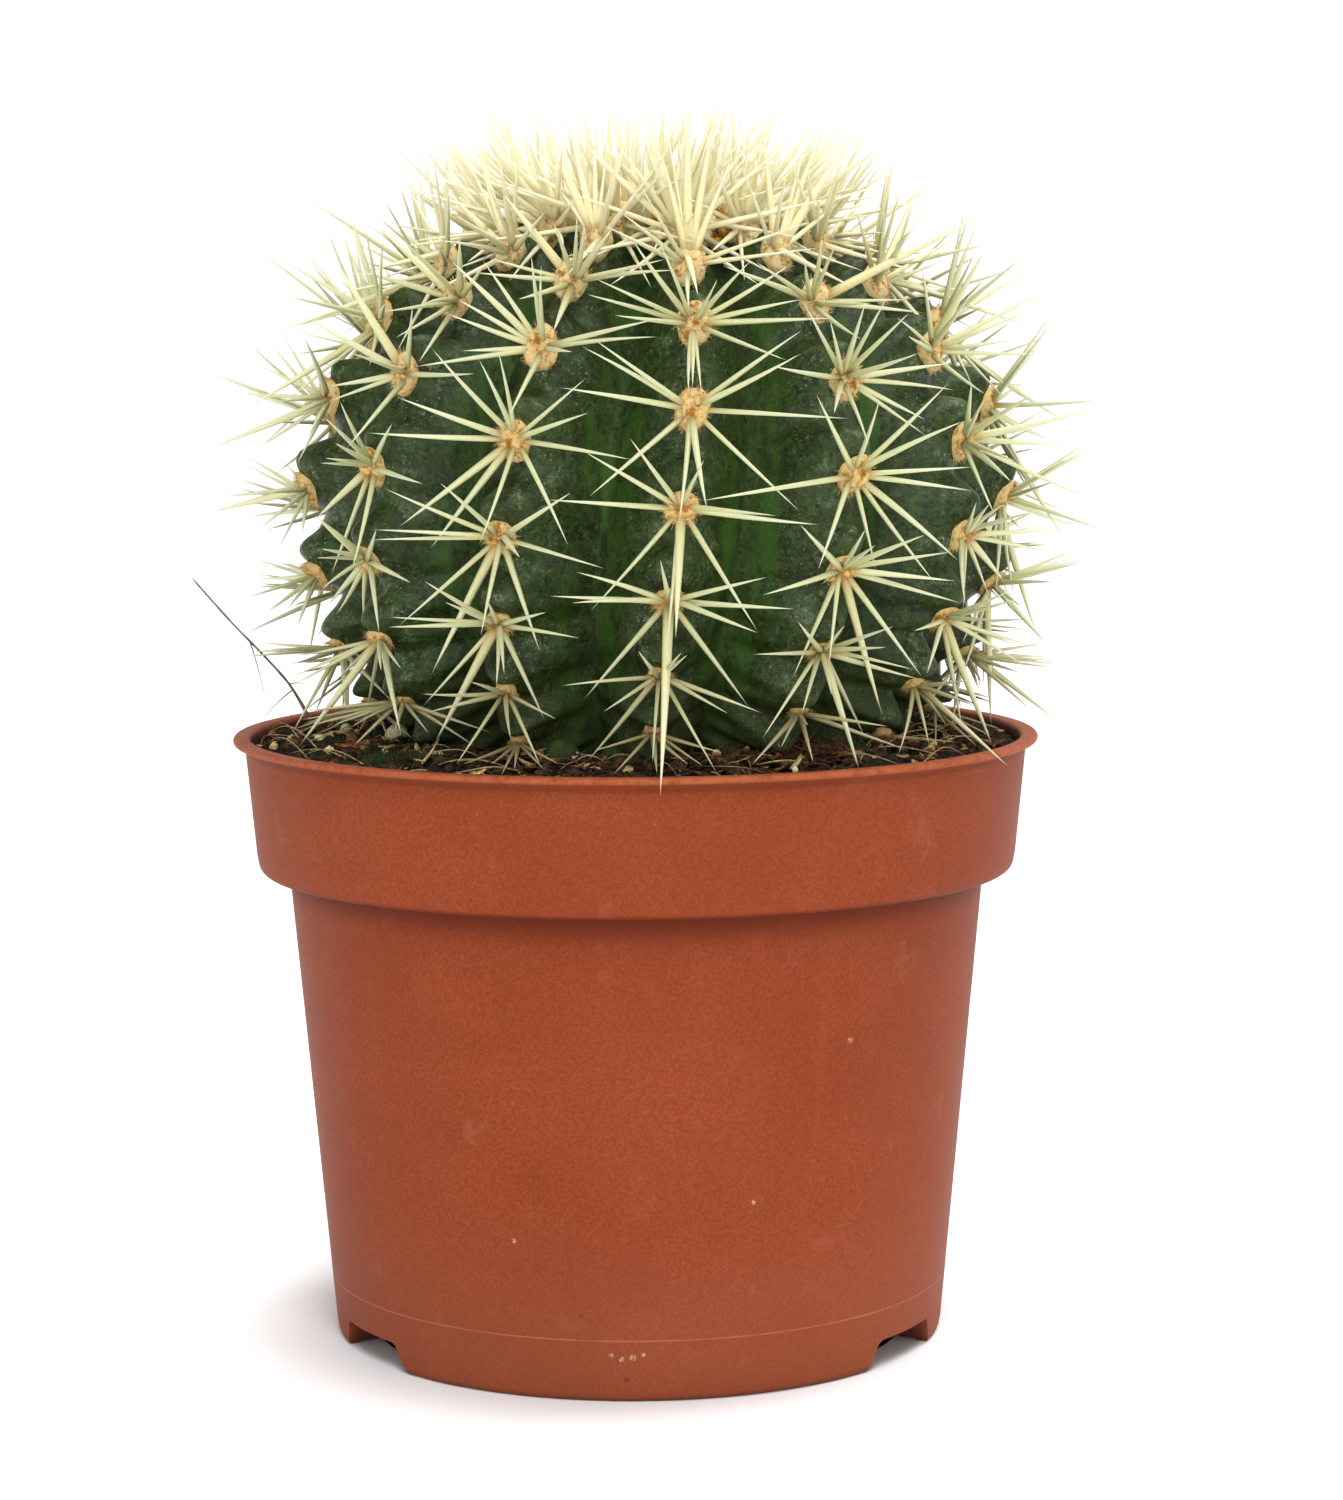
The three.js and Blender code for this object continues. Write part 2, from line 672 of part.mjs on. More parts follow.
function placeCrownSpines(ribSpines) {
  const placed = [];
  for (let n = 0; n < CROWN_SPINE_COUNT; n++) {
    const azimuth = n * GOLDEN_ANGLE;
    const distance = (CROWN_RADIUS - 1.2) * Math.sqrt((n + 0.5) / CROWN_SPINE_COUNT);
    const root = outward(azimuth).multiplyScalar(distance);
    root.add(new THREE.Vector3(PLANT_OFFSET_X, 0, crownHeight(distance)));
    for (let attempt = 0; attempt < 10; attempt++) {
      const lean = radians(4 + 8 * draw(n, attempt, 1) + 34 * (distance / CROWN_RADIUS) ** 2);
      const aim = azimuth + radians(70 * (draw(n, attempt, 2) - 0.5));
      const direction = outward(aim).multiplyScalar(Math.sin(lean)).setZ(Math.cos(lean));
      const length = CROWN_SPINE_LENGTH * (0.75 + 0.3 * draw(n, attempt, 3));
      const spine = makeSpine(root, direction, length, CROWN_SPINE_RADIUS);
      if (!clearsAll(spine, [...placed, ...ribSpines])) continue;
      placed.push(spine);
      break;
    }
  }
  return placed;
}

// A three-sided needle whose root is sunk below where the spine starts
function needle({ from, tip, radius }) {
  const sunk = 1.2;
  const direction = tip.clone().sub(from).normalize();
  const length = from.distanceTo(tip) + sunk;
  const cone = new THREE.ConeGeometry(radius, length, 3, 1);
  cone.translate(0, length / 2 - sunk, 0);
  const upright = new THREE.Vector3(0, 1, 0);
  cone.applyQuaternion(new THREE.Quaternion().setFromUnitVectors(upright, direction));
  cone.translate(from.x, from.y, from.z);
  return solidOf(cone);
}

// The plant and its crown

function makeCactus(spines) {
  const rings = fleshRings(TOP_ROW);
  let skin = fleshSkin(rings);
  for (const areole of ribAreoles) skin = raiseCushion(skin, rings, areole);
  const pocket = lathe(
    [
      [0, CROWN_FLOOR_Z],
      [CROWN_RADIUS + CLEARANCE, CROWN_FLOOR_Z],
      [CROWN_RADIUS + CLEARANCE, REACH_TOP],
      [0, REACH_TOP],
    ],
    RIB_COUNT * 2,
  ).translate([PLANT_OFFSET_X, 0, 0]);
  const flesh = solidOf(geometryFrom(skin)).subtract(pocket);
  return outerShell(wasm.Manifold.union([flesh, ...spines.map(needle)]));
}

// The crown's height at a distance from the plant's axis
function crownHeight(distance) {
  return CROWN_EDGE_Z + (CROWN_TOP_Z - CROWN_EDGE_Z) * (1 - (distance / CROWN_RADIUS) ** 2);
}

function makeCrown(spines) {
  const columns = RIB_COUNT * 2;
  const ring = (radius, z) =>
    Array.from({ length: columns }, (_, i) => {
      const lump = 0.4 * Math.sin((i * 10 * Math.PI) / columns + radius);
      const point = outward((2 * Math.PI * i) / columns).multiplyScalar(radius);
      return point.add(new THREE.Vector3(PLANT_OFFSET_X, 0, z ?? crownHeight(radius) + lump));
    });
  const floor = CROWN_FLOOR_Z + CLEARANCE;
  const shares = [1, 0.72, 0.36];
  const rings = [ring(CROWN_RADIUS, floor), ...shares.map((share) => ring(share * CROWN_RADIUS))];
  const centre = (z) => new THREE.Vector3(PLANT_OFFSET_X, 0, z);
  const wool = solidOf(geometryFrom(skinOver(centre(floor), rings, centre(CROWN_TOP_Z))));
  return outerShell(wasm.Manifold.union([wool, ...spines.map(needle)]));
}

// The object

const finishes = {
  pot: new THREE.MeshStandardMaterial({ color: 0xa9502f, roughness: 0.55, metalness: 0 }),
  soil: new THREE.MeshStandardMaterial({ color: 0x2b1d14, roughness: 1, metalness: 0 }),
  flesh: new THREE.MeshStandardMaterial({ color: 0x1f3d27, roughness: 0.5, metalness: 0 }),
  wool: new THREE.MeshStandardMaterial({ color: 0xe8d79a, roughness: 0.9, metalness: 0 }),
  perlite: new THREE.MeshStandardMaterial({ color: 0xd8d0a4, roughness: 1, metalness: 0 }),
  bark: new THREE.MeshStandardMaterial({ color: 0x6b4124, roughness: 1, metalness: 0 }),
  straw: new THREE.MeshStandardMaterial({ color: 0x8a7355, roughness: 0.9, metalness: 0 }),
};

const group = new THREE.Group();

function addPiece(name, solid, finish) {
  const mesh = new THREE.Mesh(geometryOf(solid), finish);
  mesh.name = name;
  group.add(mesh);
}

const ribSpines = placeRibSpines();
const spinesByCrown = ribSpines.filter((spine) => spine.tip.z > CROWN_FLOOR_Z);
addPiece("pot", makePot(), finishes.pot);
addPiece("soil", makeSoil(), finishes.soil);
addPiece("cactus", makeCactus(ribSpines), finishes.flesh);
addPiece("crown", makeCrown(placeCrownSpines(spinesByCrown)), finishes.wool);
addPiece("dry_stalk", stalk(STALK_RADIUS), finishes.straw);
GRAINS.forEach((item, i) => addPiece(item.name, makeGrain(item, i + 1, 7, 0.85), finishes.perlite));
CHIPS.forEach((item, i) => addPiece(item.name, makeGrain(item, i + 20, 6, 0.5), finishes.bark));

export default group;
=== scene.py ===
"""The looks of a golden barrel cactus in a plastic nursery pot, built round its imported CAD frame.

Sizes are in millimetres in the frame's axes, and become metres when a mesh is made. Azimuths are in
degrees from the front (-Y), growing towards +X.
"""

import math

import bmesh
import bpy
import numpy as np
from mathutils import Matrix, Vector
from mathutils.bvhtree import BVHTree


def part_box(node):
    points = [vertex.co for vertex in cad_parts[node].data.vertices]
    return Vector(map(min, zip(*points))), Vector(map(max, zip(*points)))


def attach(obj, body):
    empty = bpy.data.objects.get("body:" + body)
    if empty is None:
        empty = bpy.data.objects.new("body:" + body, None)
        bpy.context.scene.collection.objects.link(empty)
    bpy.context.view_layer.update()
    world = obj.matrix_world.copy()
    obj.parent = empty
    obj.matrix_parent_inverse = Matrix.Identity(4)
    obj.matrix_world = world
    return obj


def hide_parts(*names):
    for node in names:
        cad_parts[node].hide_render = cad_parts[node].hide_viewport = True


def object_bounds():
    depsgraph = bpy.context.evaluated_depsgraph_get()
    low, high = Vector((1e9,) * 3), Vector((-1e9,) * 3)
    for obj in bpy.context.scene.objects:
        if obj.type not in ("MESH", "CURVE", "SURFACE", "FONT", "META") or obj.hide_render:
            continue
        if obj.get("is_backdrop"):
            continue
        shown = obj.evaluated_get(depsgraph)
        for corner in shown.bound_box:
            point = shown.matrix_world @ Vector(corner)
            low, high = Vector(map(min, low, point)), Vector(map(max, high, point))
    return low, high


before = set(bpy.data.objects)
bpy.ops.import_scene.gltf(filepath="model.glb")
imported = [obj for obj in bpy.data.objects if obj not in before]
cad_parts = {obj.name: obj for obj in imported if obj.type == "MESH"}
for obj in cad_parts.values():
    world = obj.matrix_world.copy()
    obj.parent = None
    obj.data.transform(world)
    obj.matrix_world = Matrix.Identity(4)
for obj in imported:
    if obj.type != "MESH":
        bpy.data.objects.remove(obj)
CAD_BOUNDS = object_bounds()

MM = 0.001

# Camera, as fitted to the photograph
IMAGE_LONG_SIDE = 1500
PICTURE_MIDDLE = np.array([671.5, 750])
FOCAL_PIXELS = 3736.3
SENSOR_MM = 36
CAMERA_AT = (5.33, -556.9, 150.5)
CAMERA_PITCH = 6.503
CAMERA_ROLL = -0.282

# Pot
POT_HEIGHT = 90
RIM_RADIUS = 60
COLLAR_TOP_RADIUS = 58.4
COLLAR_BOTTOM_RADIUS = 56.5
COLLAR_Z = 70
BODY_TOP_RADIUS = 52
FOOT_RADIUS = 45.7
FOOT_RING_WIDTH = 2.2
WALL = 1
FLOOR = 1.2
RIM_INSIDE = COLLAR_TOP_RADIUS - WALL
RECESS = 2
PARTING_LINE_Z = 9
POT_SEGMENTS = 288
NOTCH_AZIMUTHS = (-58.9, 58.7, 180)
NOTCH_HEIGHT = 4.3
NOTCH_TOP_WIDTH = 14.6
NOTCH_SLANT = 3
CHANNEL_INNER_RADIUS = 24
DRAIN_HOLE_RADIUS = 4
DRAIN_HOLE_AT = 31

# Plant
PLANT_X = 3
RIBS = 13
CREST_RADIUS = 52.3
EQUATOR_Z = 125.5
DOME_HEIGHT = 43
BELLY_DEPTH = 53.5
GROOVE_SHARE = 0.21
FRONT_RIB_AZIMUTH = 4.3
TWIST_PER_MM = 0.145
CREST_WAVE = 1.5
FINE_WAVE = 2.1
SKIN_SINK = 1.1
WAVE_LEAD = 0.27
RIB_PHASE = 4 / RIBS
AREOLE_SPACING = 14.2
SHOULDER_INDEX = 1.3
SHOULDER_ARC = 57
UPPER_CROWDING = 3.6
LOWER_CROWDING = 5.8
LOWEST_AREOLE_Z = 89.5
TOP_AREOLE_INDEX = 5.4
CROWN_RADIUS = 17.5
CROWN_EDGE_Z = 165
CROWN_TOP_Z = 168.5
# Columns of points across a rib, and rows from the foot to the crown
FLESH_COLUMNS = 24
FLESH_ROWS = 250

# Spines: the turns of an areole's outer spines from straight up, in degrees, and the usual spine's size
RADIAL_TURNS = (-11, 9, 32, 52, 71, 92, 114, 138, 166, -165, -140, -116, -94, -73, -54, -34)
SPINE_LENGTH = 20.5
SPINE_RADIUS = 0.53
ROOT_DEPTH = 0.8
SPINE_STEPS = 8
SPINE_SIDES = 6
# How many degrees higher and how much shorter a spine may grow to clear what is below, in this order
CLEAR_TRIES = (
    *((0, 1), (5, 1), (0, 0.8), (10, 1), (5, 0.8), (0, 0.6), (10, 0.7), (15, 1), (5, 0.5)),
    *((15, 0.7), (10, 0.5), (20, 1), (20, 0.6), (25, 1), (30, 0.8), (35, 1), (40, 0.7), (45, 1)),
)
# How near in pixels an areole lies to the measured one that it is taken for
SAME_AREOLE = 19
# Where along a spine it is tested for what it must clear
TEST_SHARES = (0.35, 0.5, 0.7, 0.85, 1)

# Felt, hairs and young spines
FELT_COLUMNS = 22
FELT_ROWS = 8
AREOLE_HAIRS = 200
FELT_HAIR_RADIUS = 0.065
TUFT_HAIRS = 70
CROWN_HAIRS = 2600
TUFT_HAIR_RADIUS = 0.08
CROWN_HAIR_RADIUS = 0.09
CROWN_CLUSTERS = 46
SPINES_IN_CLUSTER = 4
GOLDEN_ANGLE = 180 * (3 - math.sqrt(5))

# Soil and what lies on it
SOIL_EDGE_Z = 87.9
SOIL_MOUND = 1.6
SOIL_COLUMNS = 300
SOIL_ROWS = 90
CRUMBS = 2600
LOOSE_FIBRES = 520
PALE_FIBRE_SHARE = 0.3
MOSS_BLADES = 2600
SMALL_PALE_GRAINS = 60

# How far the plant may reach from the pot's axis: the box of the frame's own plant
PLANT_BOX = [np.array(corner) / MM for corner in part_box("cactus")]
CROWN_BOX = [np.array(corner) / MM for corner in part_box("crown")]
BOX_LOW = np.minimum(PLANT_BOX[0], CROWN_BOX[0])
BOX_HIGH = np.maximum(PLANT_BOX[1], CROWN_BOX[1])

rng = np.random.default_rng(20)


# Small helpers for points and noise


def outward(azimuth):
    """Horizontal unit directions at one azimuth or many, in degrees."""
    turn = np.radians(azimuth)
    return np.stack([np.sin(turn), -np.cos(turn), np.zeros_like(turn)], axis=-1)


def smoothstep(low, high, x):
    t = np.clip((np.asarray(x, float) - low) / (high - low), 0, 1)
    return t * t * (3 - 2 * t)


def unit(vectors):
    return vectors / np.linalg.norm(vectors, axis=-1, keepdims=True)


def lattice_value(ix, iy, iz, seed):
    """A repeatable value between -1 and 1 for each corner of a lattice."""
    n = ix * 374761393 + iy * 668265263 + iz * 1274126177 + seed * 974634777
    n = (n ^ (n >> 13)) & 0xFFFFFFFF
    n = (n * 1103515245 + 12345) & 0xFFFFFFFF
    n = ((n ^ (n >> 16)) * 2246822519) & 0xFFFFFFFF
    return ((n ^ (n >> 15)) & 0xFFFFFF) / 0x7FFFFF - 1


def noise(points, size, seed):
    """Smooth value noise between -1 and 1 whose features are about size mm across."""
    p = np.asarray(points, float) / size
    base = np.floor(p).astype(np.int64)
    f = p - base
    f = f * f * (3 - 2 * f)
    total = np.zeros(p.shape[:-1])
    for corner in range(8):
        step = np.array([corner & 1, corner >> 1 & 1, corner >> 2 & 1])
        weight = np.prod(np.where(step, f, 1 - f), axis=-1)
        at = base + step
        total += weight * lattice_value(at[..., 0], at[..., 1], at[..., 2], seed)
    return total


def rough(points, size, octaves, seed):
    """Layered noise: each layer is half the size and half the strength of the one before."""
    return sum(noise(points, size / 2**i, seed + i) / 2**i for i in range(octaves))


# Meshes


def add_object(name, points, faces, material, smooth=True, attributes=None):
    """A mesh object from points in mm, with float attributes of its points."""
    mesh = bpy.data.meshes.new(name)
    mesh.from_pydata((np.asarray(points) * MM).tolist(), [], [list(map(int, face)) for face in faces])
    for key, values in (attributes or {}).items():
        layer = mesh.attributes.new(key, "FLOAT", "POINT")
        layer.data.foreach_set("value", np.asarray(values, np.float32))
    mesh.polygons.foreach_set("use_smooth", np.full(len(mesh.polygons), smooth))
    mesh.materials.append(material)
    mesh.update()
    piece = bpy.data.objects.new(name, mesh)
    bpy.context.scene.collection.objects.link(piece)
    return piece


def belongs(piece, slot, *nodes):
    """The piece rides with the pot and plant, which are one body, and stands for these nodes."""
    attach(piece, "root")
    if nodes:
        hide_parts(*nodes)
    return piece


def grid_faces(rows, columns):
    """Four-sided faces over rows of points, each row a closed ring."""
    j, i = np.meshgrid(np.arange(rows - 1), np.arange(columns), indexing="ij")
    right = (i + 1) % columns
    a, b = j * columns + i, j * columns + right
    c, d = (j + 1) * columns + right, (j + 1) * columns + i
    return np.stack([a, b, c, d], axis=-1).reshape(-1, 4)


def ring_skin(rings):
    """Points and faces of a closed skin over rings, with a pole in the middle of each end ring."""
    rows, columns = rings.shape[:2]
    points = np.concatenate([rings.reshape(-1, 3), [rings[0].mean(0), rings[-1].mean(0)]])
    faces = grid_faces(rows, columns).tolist()
    low, high, last = rows * columns, rows * columns + 1, (rows - 1) * columns
    for i in range(columns):
        right = (i + 1) % columns
        faces.append([low, right, i])
        faces.append([last + i, last + right, high])
    return points, faces


class Batch:
    """Many small closed shapes gathered into one mesh."""

    def __init__(self):
        self.points, self.faces, self.count = [], [], 0
        self.values = {}

    def add(self, points, faces, **values):
        self.points.append(points)
        self.faces.extend([[v + self.count for v in face] for face in faces])
        self.count += len(points)
        for key, value in values.items():
            self.values.setdefault(key, []).append(np.broadcast_to(value, len(points)))

    def add_tube(self, path, radii, sides, **values):
        points, faces, _ = tube(path, radii, sides)
        self.add(points, faces, **values)

    def build(self, name, material):
        attributes = {key: np.concatenate(parts) for key, parts in self.values.items()}
        return add_object(name, np.concatenate(self.points), self.faces, material, attributes=attributes)


def tube(path, radii, sides, spin=0.0):
    """Points and faces of a tube, pointed where a radius is 0, and how far along it each point is."""
    path, radii = np.asarray(path, float), np.asarray(radii, float)
    along = np.gradient(path, axis=0)
    along = unit(along)
    helper = np.array([0, 0, 1.0]) if abs(along[0][2]) < 0.9 else np.array([1.0, 0, 0])
    side = unit(np.cross(along, helper))
    other = np.cross(along, side)
    angles = spin + 2 * np.pi * np.arange(sides) / sides
    offsets = np.cos(angles)[None, :, None] * side[:, None] + np.sin(angles)[None, :, None] * other[:, None]
    body = len(path) - 1 if radii[-1] == 0 else len(path)
    rings = path[:body, None] + offsets[:body] * radii[:body, None, None]
    points = [*rings.reshape(-1, 3), path[0], path[-1]]
    root, tip = body * sides, body * sides + 1
    faces = grid_faces(body, sides).tolist()
    last = (body - 1) * sides
    for i in range(sides):
        right = (i + 1) % sides
        faces.append([root, right, i])
        faces.append([last + i, last + right, tip])
    shares = np.linspace(0, 1, len(path))
    share = np.concatenate([np.repeat(shares[:body], sides), [0, 1]])
    return np.array(points), faces, share


def ball(detail):
    """Points and faces of a ball of radius 1."""
    mesh = bpy.data.meshes.new("ball")
    shape = bmesh.new()
    bmesh.ops.create_icosphere(shape, subdivisions=detail, radius=1)
    shape.to_mesh(mesh)
    shape.free()
    points = np.array([v.co[:] for v in mesh.vertices])
    faces = [list(p.vertices) for p in mesh.polygons]
    bpy.data.meshes.remove(mesh)
    return points, faces


# Materials


class Shader:
    """A node material made by short calls."""

    def __init__(self, name, **settings):
        self.material = bpy.data.materials.new(name)
        self.material.use_nodes = True
        self.nodes = self.material.node_tree.nodes
        self.links = self.material.node_tree.links
        self.surface = self.nodes["Principled BSDF"]
        for key, value in settings.items():
            self.surface.inputs[key.replace("_", " ")].default_value = value

    def node(self, kind, inputs=None, **properties):
        made = self.nodes.new(kind)
        for key, value in properties.items():
            setattr(made, key, value)
        for key, value in (inputs or {}).items():
            self.put(value, made.inputs[key])
        return made

    def put(self, value, socket):
        if isinstance(value, bpy.types.NodeSocket):
            self.links.new(value, socket)
        else:
            socket.default_value = value

    def place(self):
        return self.node("ShaderNodeTexCoord").outputs["Object"]

    def noise(self, size_mm, detail, roughness=0.6, stretch=None):
        """Noise with features of about size_mm."""
        where = self.place()
        if stretch:
            where = self.node("ShaderNodeMapping", {"Vector": where, "Scale": stretch}).outputs[0]
        settings = {"Vector": where, "Scale": 1 / (size_mm * MM), "Detail": detail, "Roughness": roughness}
        return self.node("ShaderNodeTexNoise", settings).outputs["Fac"]

    def height(self):
        """Height above the surface in mm."""
        z = self.node("ShaderNodeSeparateXYZ", {"Vector": self.place()}).outputs["Z"]
        return self.math("MULTIPLY", z, 1 / MM)

    def radius(self):
        """Distance from the pot's axis in mm."""
        inputs = {0: self.place(), 1: (1, 1, 0)}
        flat = self.node("ShaderNodeVectorMath", inputs, operation="MULTIPLY").outputs[0]
        length = self.node("ShaderNodeVectorMath", {0: flat}, operation="LENGTH").outputs["Value"]
        return self.math("MULTIPLY", length, 1 / MM)

    def near(self, point, inner, outer):
        """1 within inner mm of a point and 0 beyond outer mm."""
        where = [value * MM for value in point]
        made = self.node("ShaderNodeVectorMath", {0: self.place(), 1: where}, operation="DISTANCE")
        return self.step(self.math("MULTIPLY", made.outputs["Value"], 1 / MM), outer, inner)

    def band(self, value, middle, half, soft):
        """1 where the value is within half of the middle, fading out over soft."""
        away = self.math("ABSOLUTE", self.math("SUBTRACT", value, middle))
        return self.step(away, half + soft, half)

    def attribute(self, name):
        return self.node("ShaderNodeAttribute", attribute_name=name).outputs["Fac"]

    def ramp(self, value, *stops):
        """A colour ramp from (place, colour) stops."""
        made = self.node("ShaderNodeValToRGB", {"Fac": value})
        elements = made.color_ramp.elements
        while len(elements) < len(stops):
            elements.new(0.5)
        for element, (at, colour) in zip(elements, stops):
            element.position = at
            element.color = (*colour, 1)
        return made.outputs["Color"]

    def step(self, value, low, high):
        """0 at low and 1 at high, and level beyond them."""
        if low > high:
            return self.math("SUBTRACT", 1.0, self.step(value, high, low))
        inputs = {"Value": value, "From Min": low, "From Max": high}
        return self.node("ShaderNodeMapRange", inputs, interpolation_type="SMOOTHSTEP").outputs[0]

    def math(self, operation, a, b=0.0):
        return self.node("ShaderNodeMath", {0: a, 1: b}, operation=operation).outputs[0]

    def mix(self, share, a, b):
        made = self.node("ShaderNodeMix", data_type="RGBA")
        for name, value in (("Factor", share), ("A", a), ("B", b)):
            kind = "VALUE" if name == "Factor" else "RGBA"
            socket = next(s for s in made.inputs if s.name == name and s.type == kind)
            if kind == "RGBA" and not isinstance(value, bpy.types.NodeSocket) and len(value) == 3:
                value = (*value, 1)
            self.put(value, socket)
        return next(s for s in made.outputs if s.type == "RGBA")

    def both(self, a, b):
        """The product of two shares."""
        return self.math("MULTIPLY", a, b)

    def tint(self, colour, other, share, strength):
        """The colour with another laid over it, as strongly as strength where the share is 1."""
        return self.mix(self.both(share, strength), colour, other)

    def bump(self, height, distance_mm, strength, below=None):
        inputs = {"Height": height, "Distance": distance_mm * MM, "Strength": strength}
        made = self.node("ShaderNodeBump", inputs)
        if below is not None:
            self.links.new(below, made.inputs["Normal"])
        return made.outputs["Normal"]

    def finish(self, colour, roughness=None, normal=None):
        self.put(colour, self.surface.inputs["Base Color"])
        if roughness is not None:
            self.put(roughness, self.surface.inputs["Roughness"])
        if normal is not None:
            self.links.new(normal, self.surface.inputs["Normal"])
        return self.material


# Small marks on the pot's front: azimuth, height, size and whether pale, in degrees and mm
POT_MARKS = (
    (-0.6, 6.6, 0.55, True),
    (-2.6, 6.3, 0.5, True),
    (-4.4, 6.9, 0.4, True),
    (1.2, 7.0, 0.35, True),
    (-1.8, 3.4, 0.5, False),
    (-9.5, 12.5, 0.4, False),
    (37.0, 50.5, 0.5, True),
    (-21.0, 23.0, 0.4, True),
    (20.0, 28.5, 0.4, True),
    (-21.5, 84.5, 0.5, True),
    (-11.0, 86.0, 0.35, True),
    (58.0, 76.0, 0.6, False),
    (3.0, 83.5, 0.4, True),
)


def scuffed_clay(s, clouds, grain):
    """The pot's colour with its dust, flow streaks and scuffs."""
    colour = s.mix(s.step(clouds, 0.35, 0.65), (0.232, 0.0468, 0.0148), (0.262, 0.0552, 0.0184))
    colour = s.mix(s.step(grain, 0.60, 0.42), colour, s.mix(0.5, colour, (0.15, 0.024, 0.008)))
    dust = s.both(s.step(s.noise(9, 4, 0.75), 0.56, 0.75), 0.14)
    colour = s.mix(dust, colour, (0.40, 0.17, 0.10))
    flow = s.step(s.noise(11, 3, 0.5, stretch=(1, 1, 0.04)), 0.60, 0.72)
    colour = s.tint(colour, (0.42, 0.12, 0.05), flow, 0.12)
    scuff = s.step(s.noise(2.4, 4, 0.8, stretch=(1, 1, 0.35)), 0.72, 0.80)
    return s.tint(colour, (0.52, 0.25, 0.16), scuff, 0.4)


def painted_edge_light(s, colour, height):
    """Lays painted light and shade over the pot's colour: a painted highlight along the lip, painted shadow
    under the lip and under the collar, painted shade along the foot's bottom edge and inside the notches,
    and painted bounce light that makes the lower wall paler.
    """
    # Painted highlight: a paler band along the lip, broken up by noise.
    worn = s.both(s.step(height, POT_HEIGHT - 1.3, POT_HEIGHT - 0.4), s.step(s.noise(2, 4, 0.7), 0.25, 0.6))
    colour = s.tint(colour, (0.50, 0.15, 0.065), worn, 0.45)
    # Painted shadow: a thin dark line under the lip's overhang.
    lip_shadow = s.band(height, POT_HEIGHT - 1.6, 0.25, 0.6)
    colour = s.tint(colour, (0.10, 0.015, 0.006), lip_shadow, 0.42)
    # Painted shade: darker along the foot's bottom edge, where it meets the floor.
    foot_edge_shade = s.step(height, 1.3, 0.3)
    # Painted shade inside the foot's notches and channels.
    notch_shade = s.both(s.step(s.radius(), FOOT_RADIUS - 0.1, FOOT_RADIUS - 1.4), s.step(height, 12, 6))
    colour = s.tint(colour, (0.05, 0.012, 0.006), foot_edge_shade, 0.5)
    colour = s.tint(colour, (0.030, 0.009, 0.006), notch_shade, 0.78)
    # Painted shadow: a dark band on the wall just under the collar's step.
    corner = s.both(s.step(height, COLLAR_Z - 5, COLLAR_Z - 0.5), s.step(height, COLLAR_Z + 1, COLLAR_Z))
    colour = s.tint(colour, (0.10, 0.015, 0.006), corner, 0.84)
    # Painted bounce light: the lower wall paler towards the foot.
    return s.mix(s.both(s.step(height, 30, 4), 0.35), colour, (0.26, 0.078, 0.042))


def stains_and_inner_shade(s, colour, height):
    """Lays the soil stain and painted shade inside the rim, the parting line and the small marks over the
    pot's colour.
    """
    lean = (COLLAR_TOP_RADIUS - COLLAR_BOTTOM_RADIUS) / (POT_HEIGHT - COLLAR_Z)
    upright = s.math("SUBTRACT", s.radius(), s.both(s.math("SUBTRACT", height, COLLAR_Z), lean))
    inner_side = s.step(upright, COLLAR_BOTTOM_RADIUS - 0.4, COLLAR_BOTTOM_RADIUS - 0.8)
    inside = s.both(inner_side, s.step(height, 89.7, 89.0))
    # Partly a soil stain and partly painted shade: dark patches on the inner wall below the rim.
    inner_stain_and_shade = s.both(s.both(inside, s.step(height, 72, 74)), s.step(s.noise(4, 4), 0.25, 0.55))
    colour = s.tint(colour, (0.045, 0.014, 0.007), inner_stain_and_shade, 0.7)
    seam = s.both(s.band(height, PARTING_LINE_Z, 0.03, 0.13), s.step(s.noise(7, 4, 0.7), 0.15, 0.55))
    colour = s.tint(colour, (0.56, 0.26, 0.16), seam, 0.30)
    ragged = s.step(s.noise(0.35, 3, 0.8), 0.46, 0.54)
    for azimuth, z, size, pale in POT_MARKS:
        wall = COLLAR_TOP_RADIUS - 1
        if z < COLLAR_Z:
            wall = FOOT_RADIUS + (BODY_TOP_RADIUS - FOOT_RADIUS) * z / COLLAR_Z
        spot = outward(azimuth) * wall + [0, 0, z]
        mark = s.both(s.near(spot, 0.35 * size, 1.2 * size), ragged)
        colour = s.mix(s.both(mark, 0.7), colour, (0.62, 0.38, 0.26) if pale else (0.05, 0.02, 0.015))
    speck = s.step(s.noise(1.1, 2), 0.775, 0.80)
    return s.tint(colour, (0.08, 0.03, 0.02), speck, 0.7)


def pot_plastic():
    s = Shader("pot_satin", Specular_IOR_Level=0.06)
    clouds, grain, height = s.noise(28, 3), s.noise(0.4, 3, 0.8), s.height()
    colour = stains_and_inner_shade(s, painted_edge_light(s, scuffed_clay(s, clouds, grain), height), height)
    roughness = s.node("ShaderNodeMapRange", {"Value": clouds, "To Min": 0.46, "To Max": 0.6}).outputs[0]
    normal = s.bump(grain, 0.06, 0.6, s.bump(s.noise(14, 2), 0.35, 0.25))
    return s.finish(colour, roughness, normal)


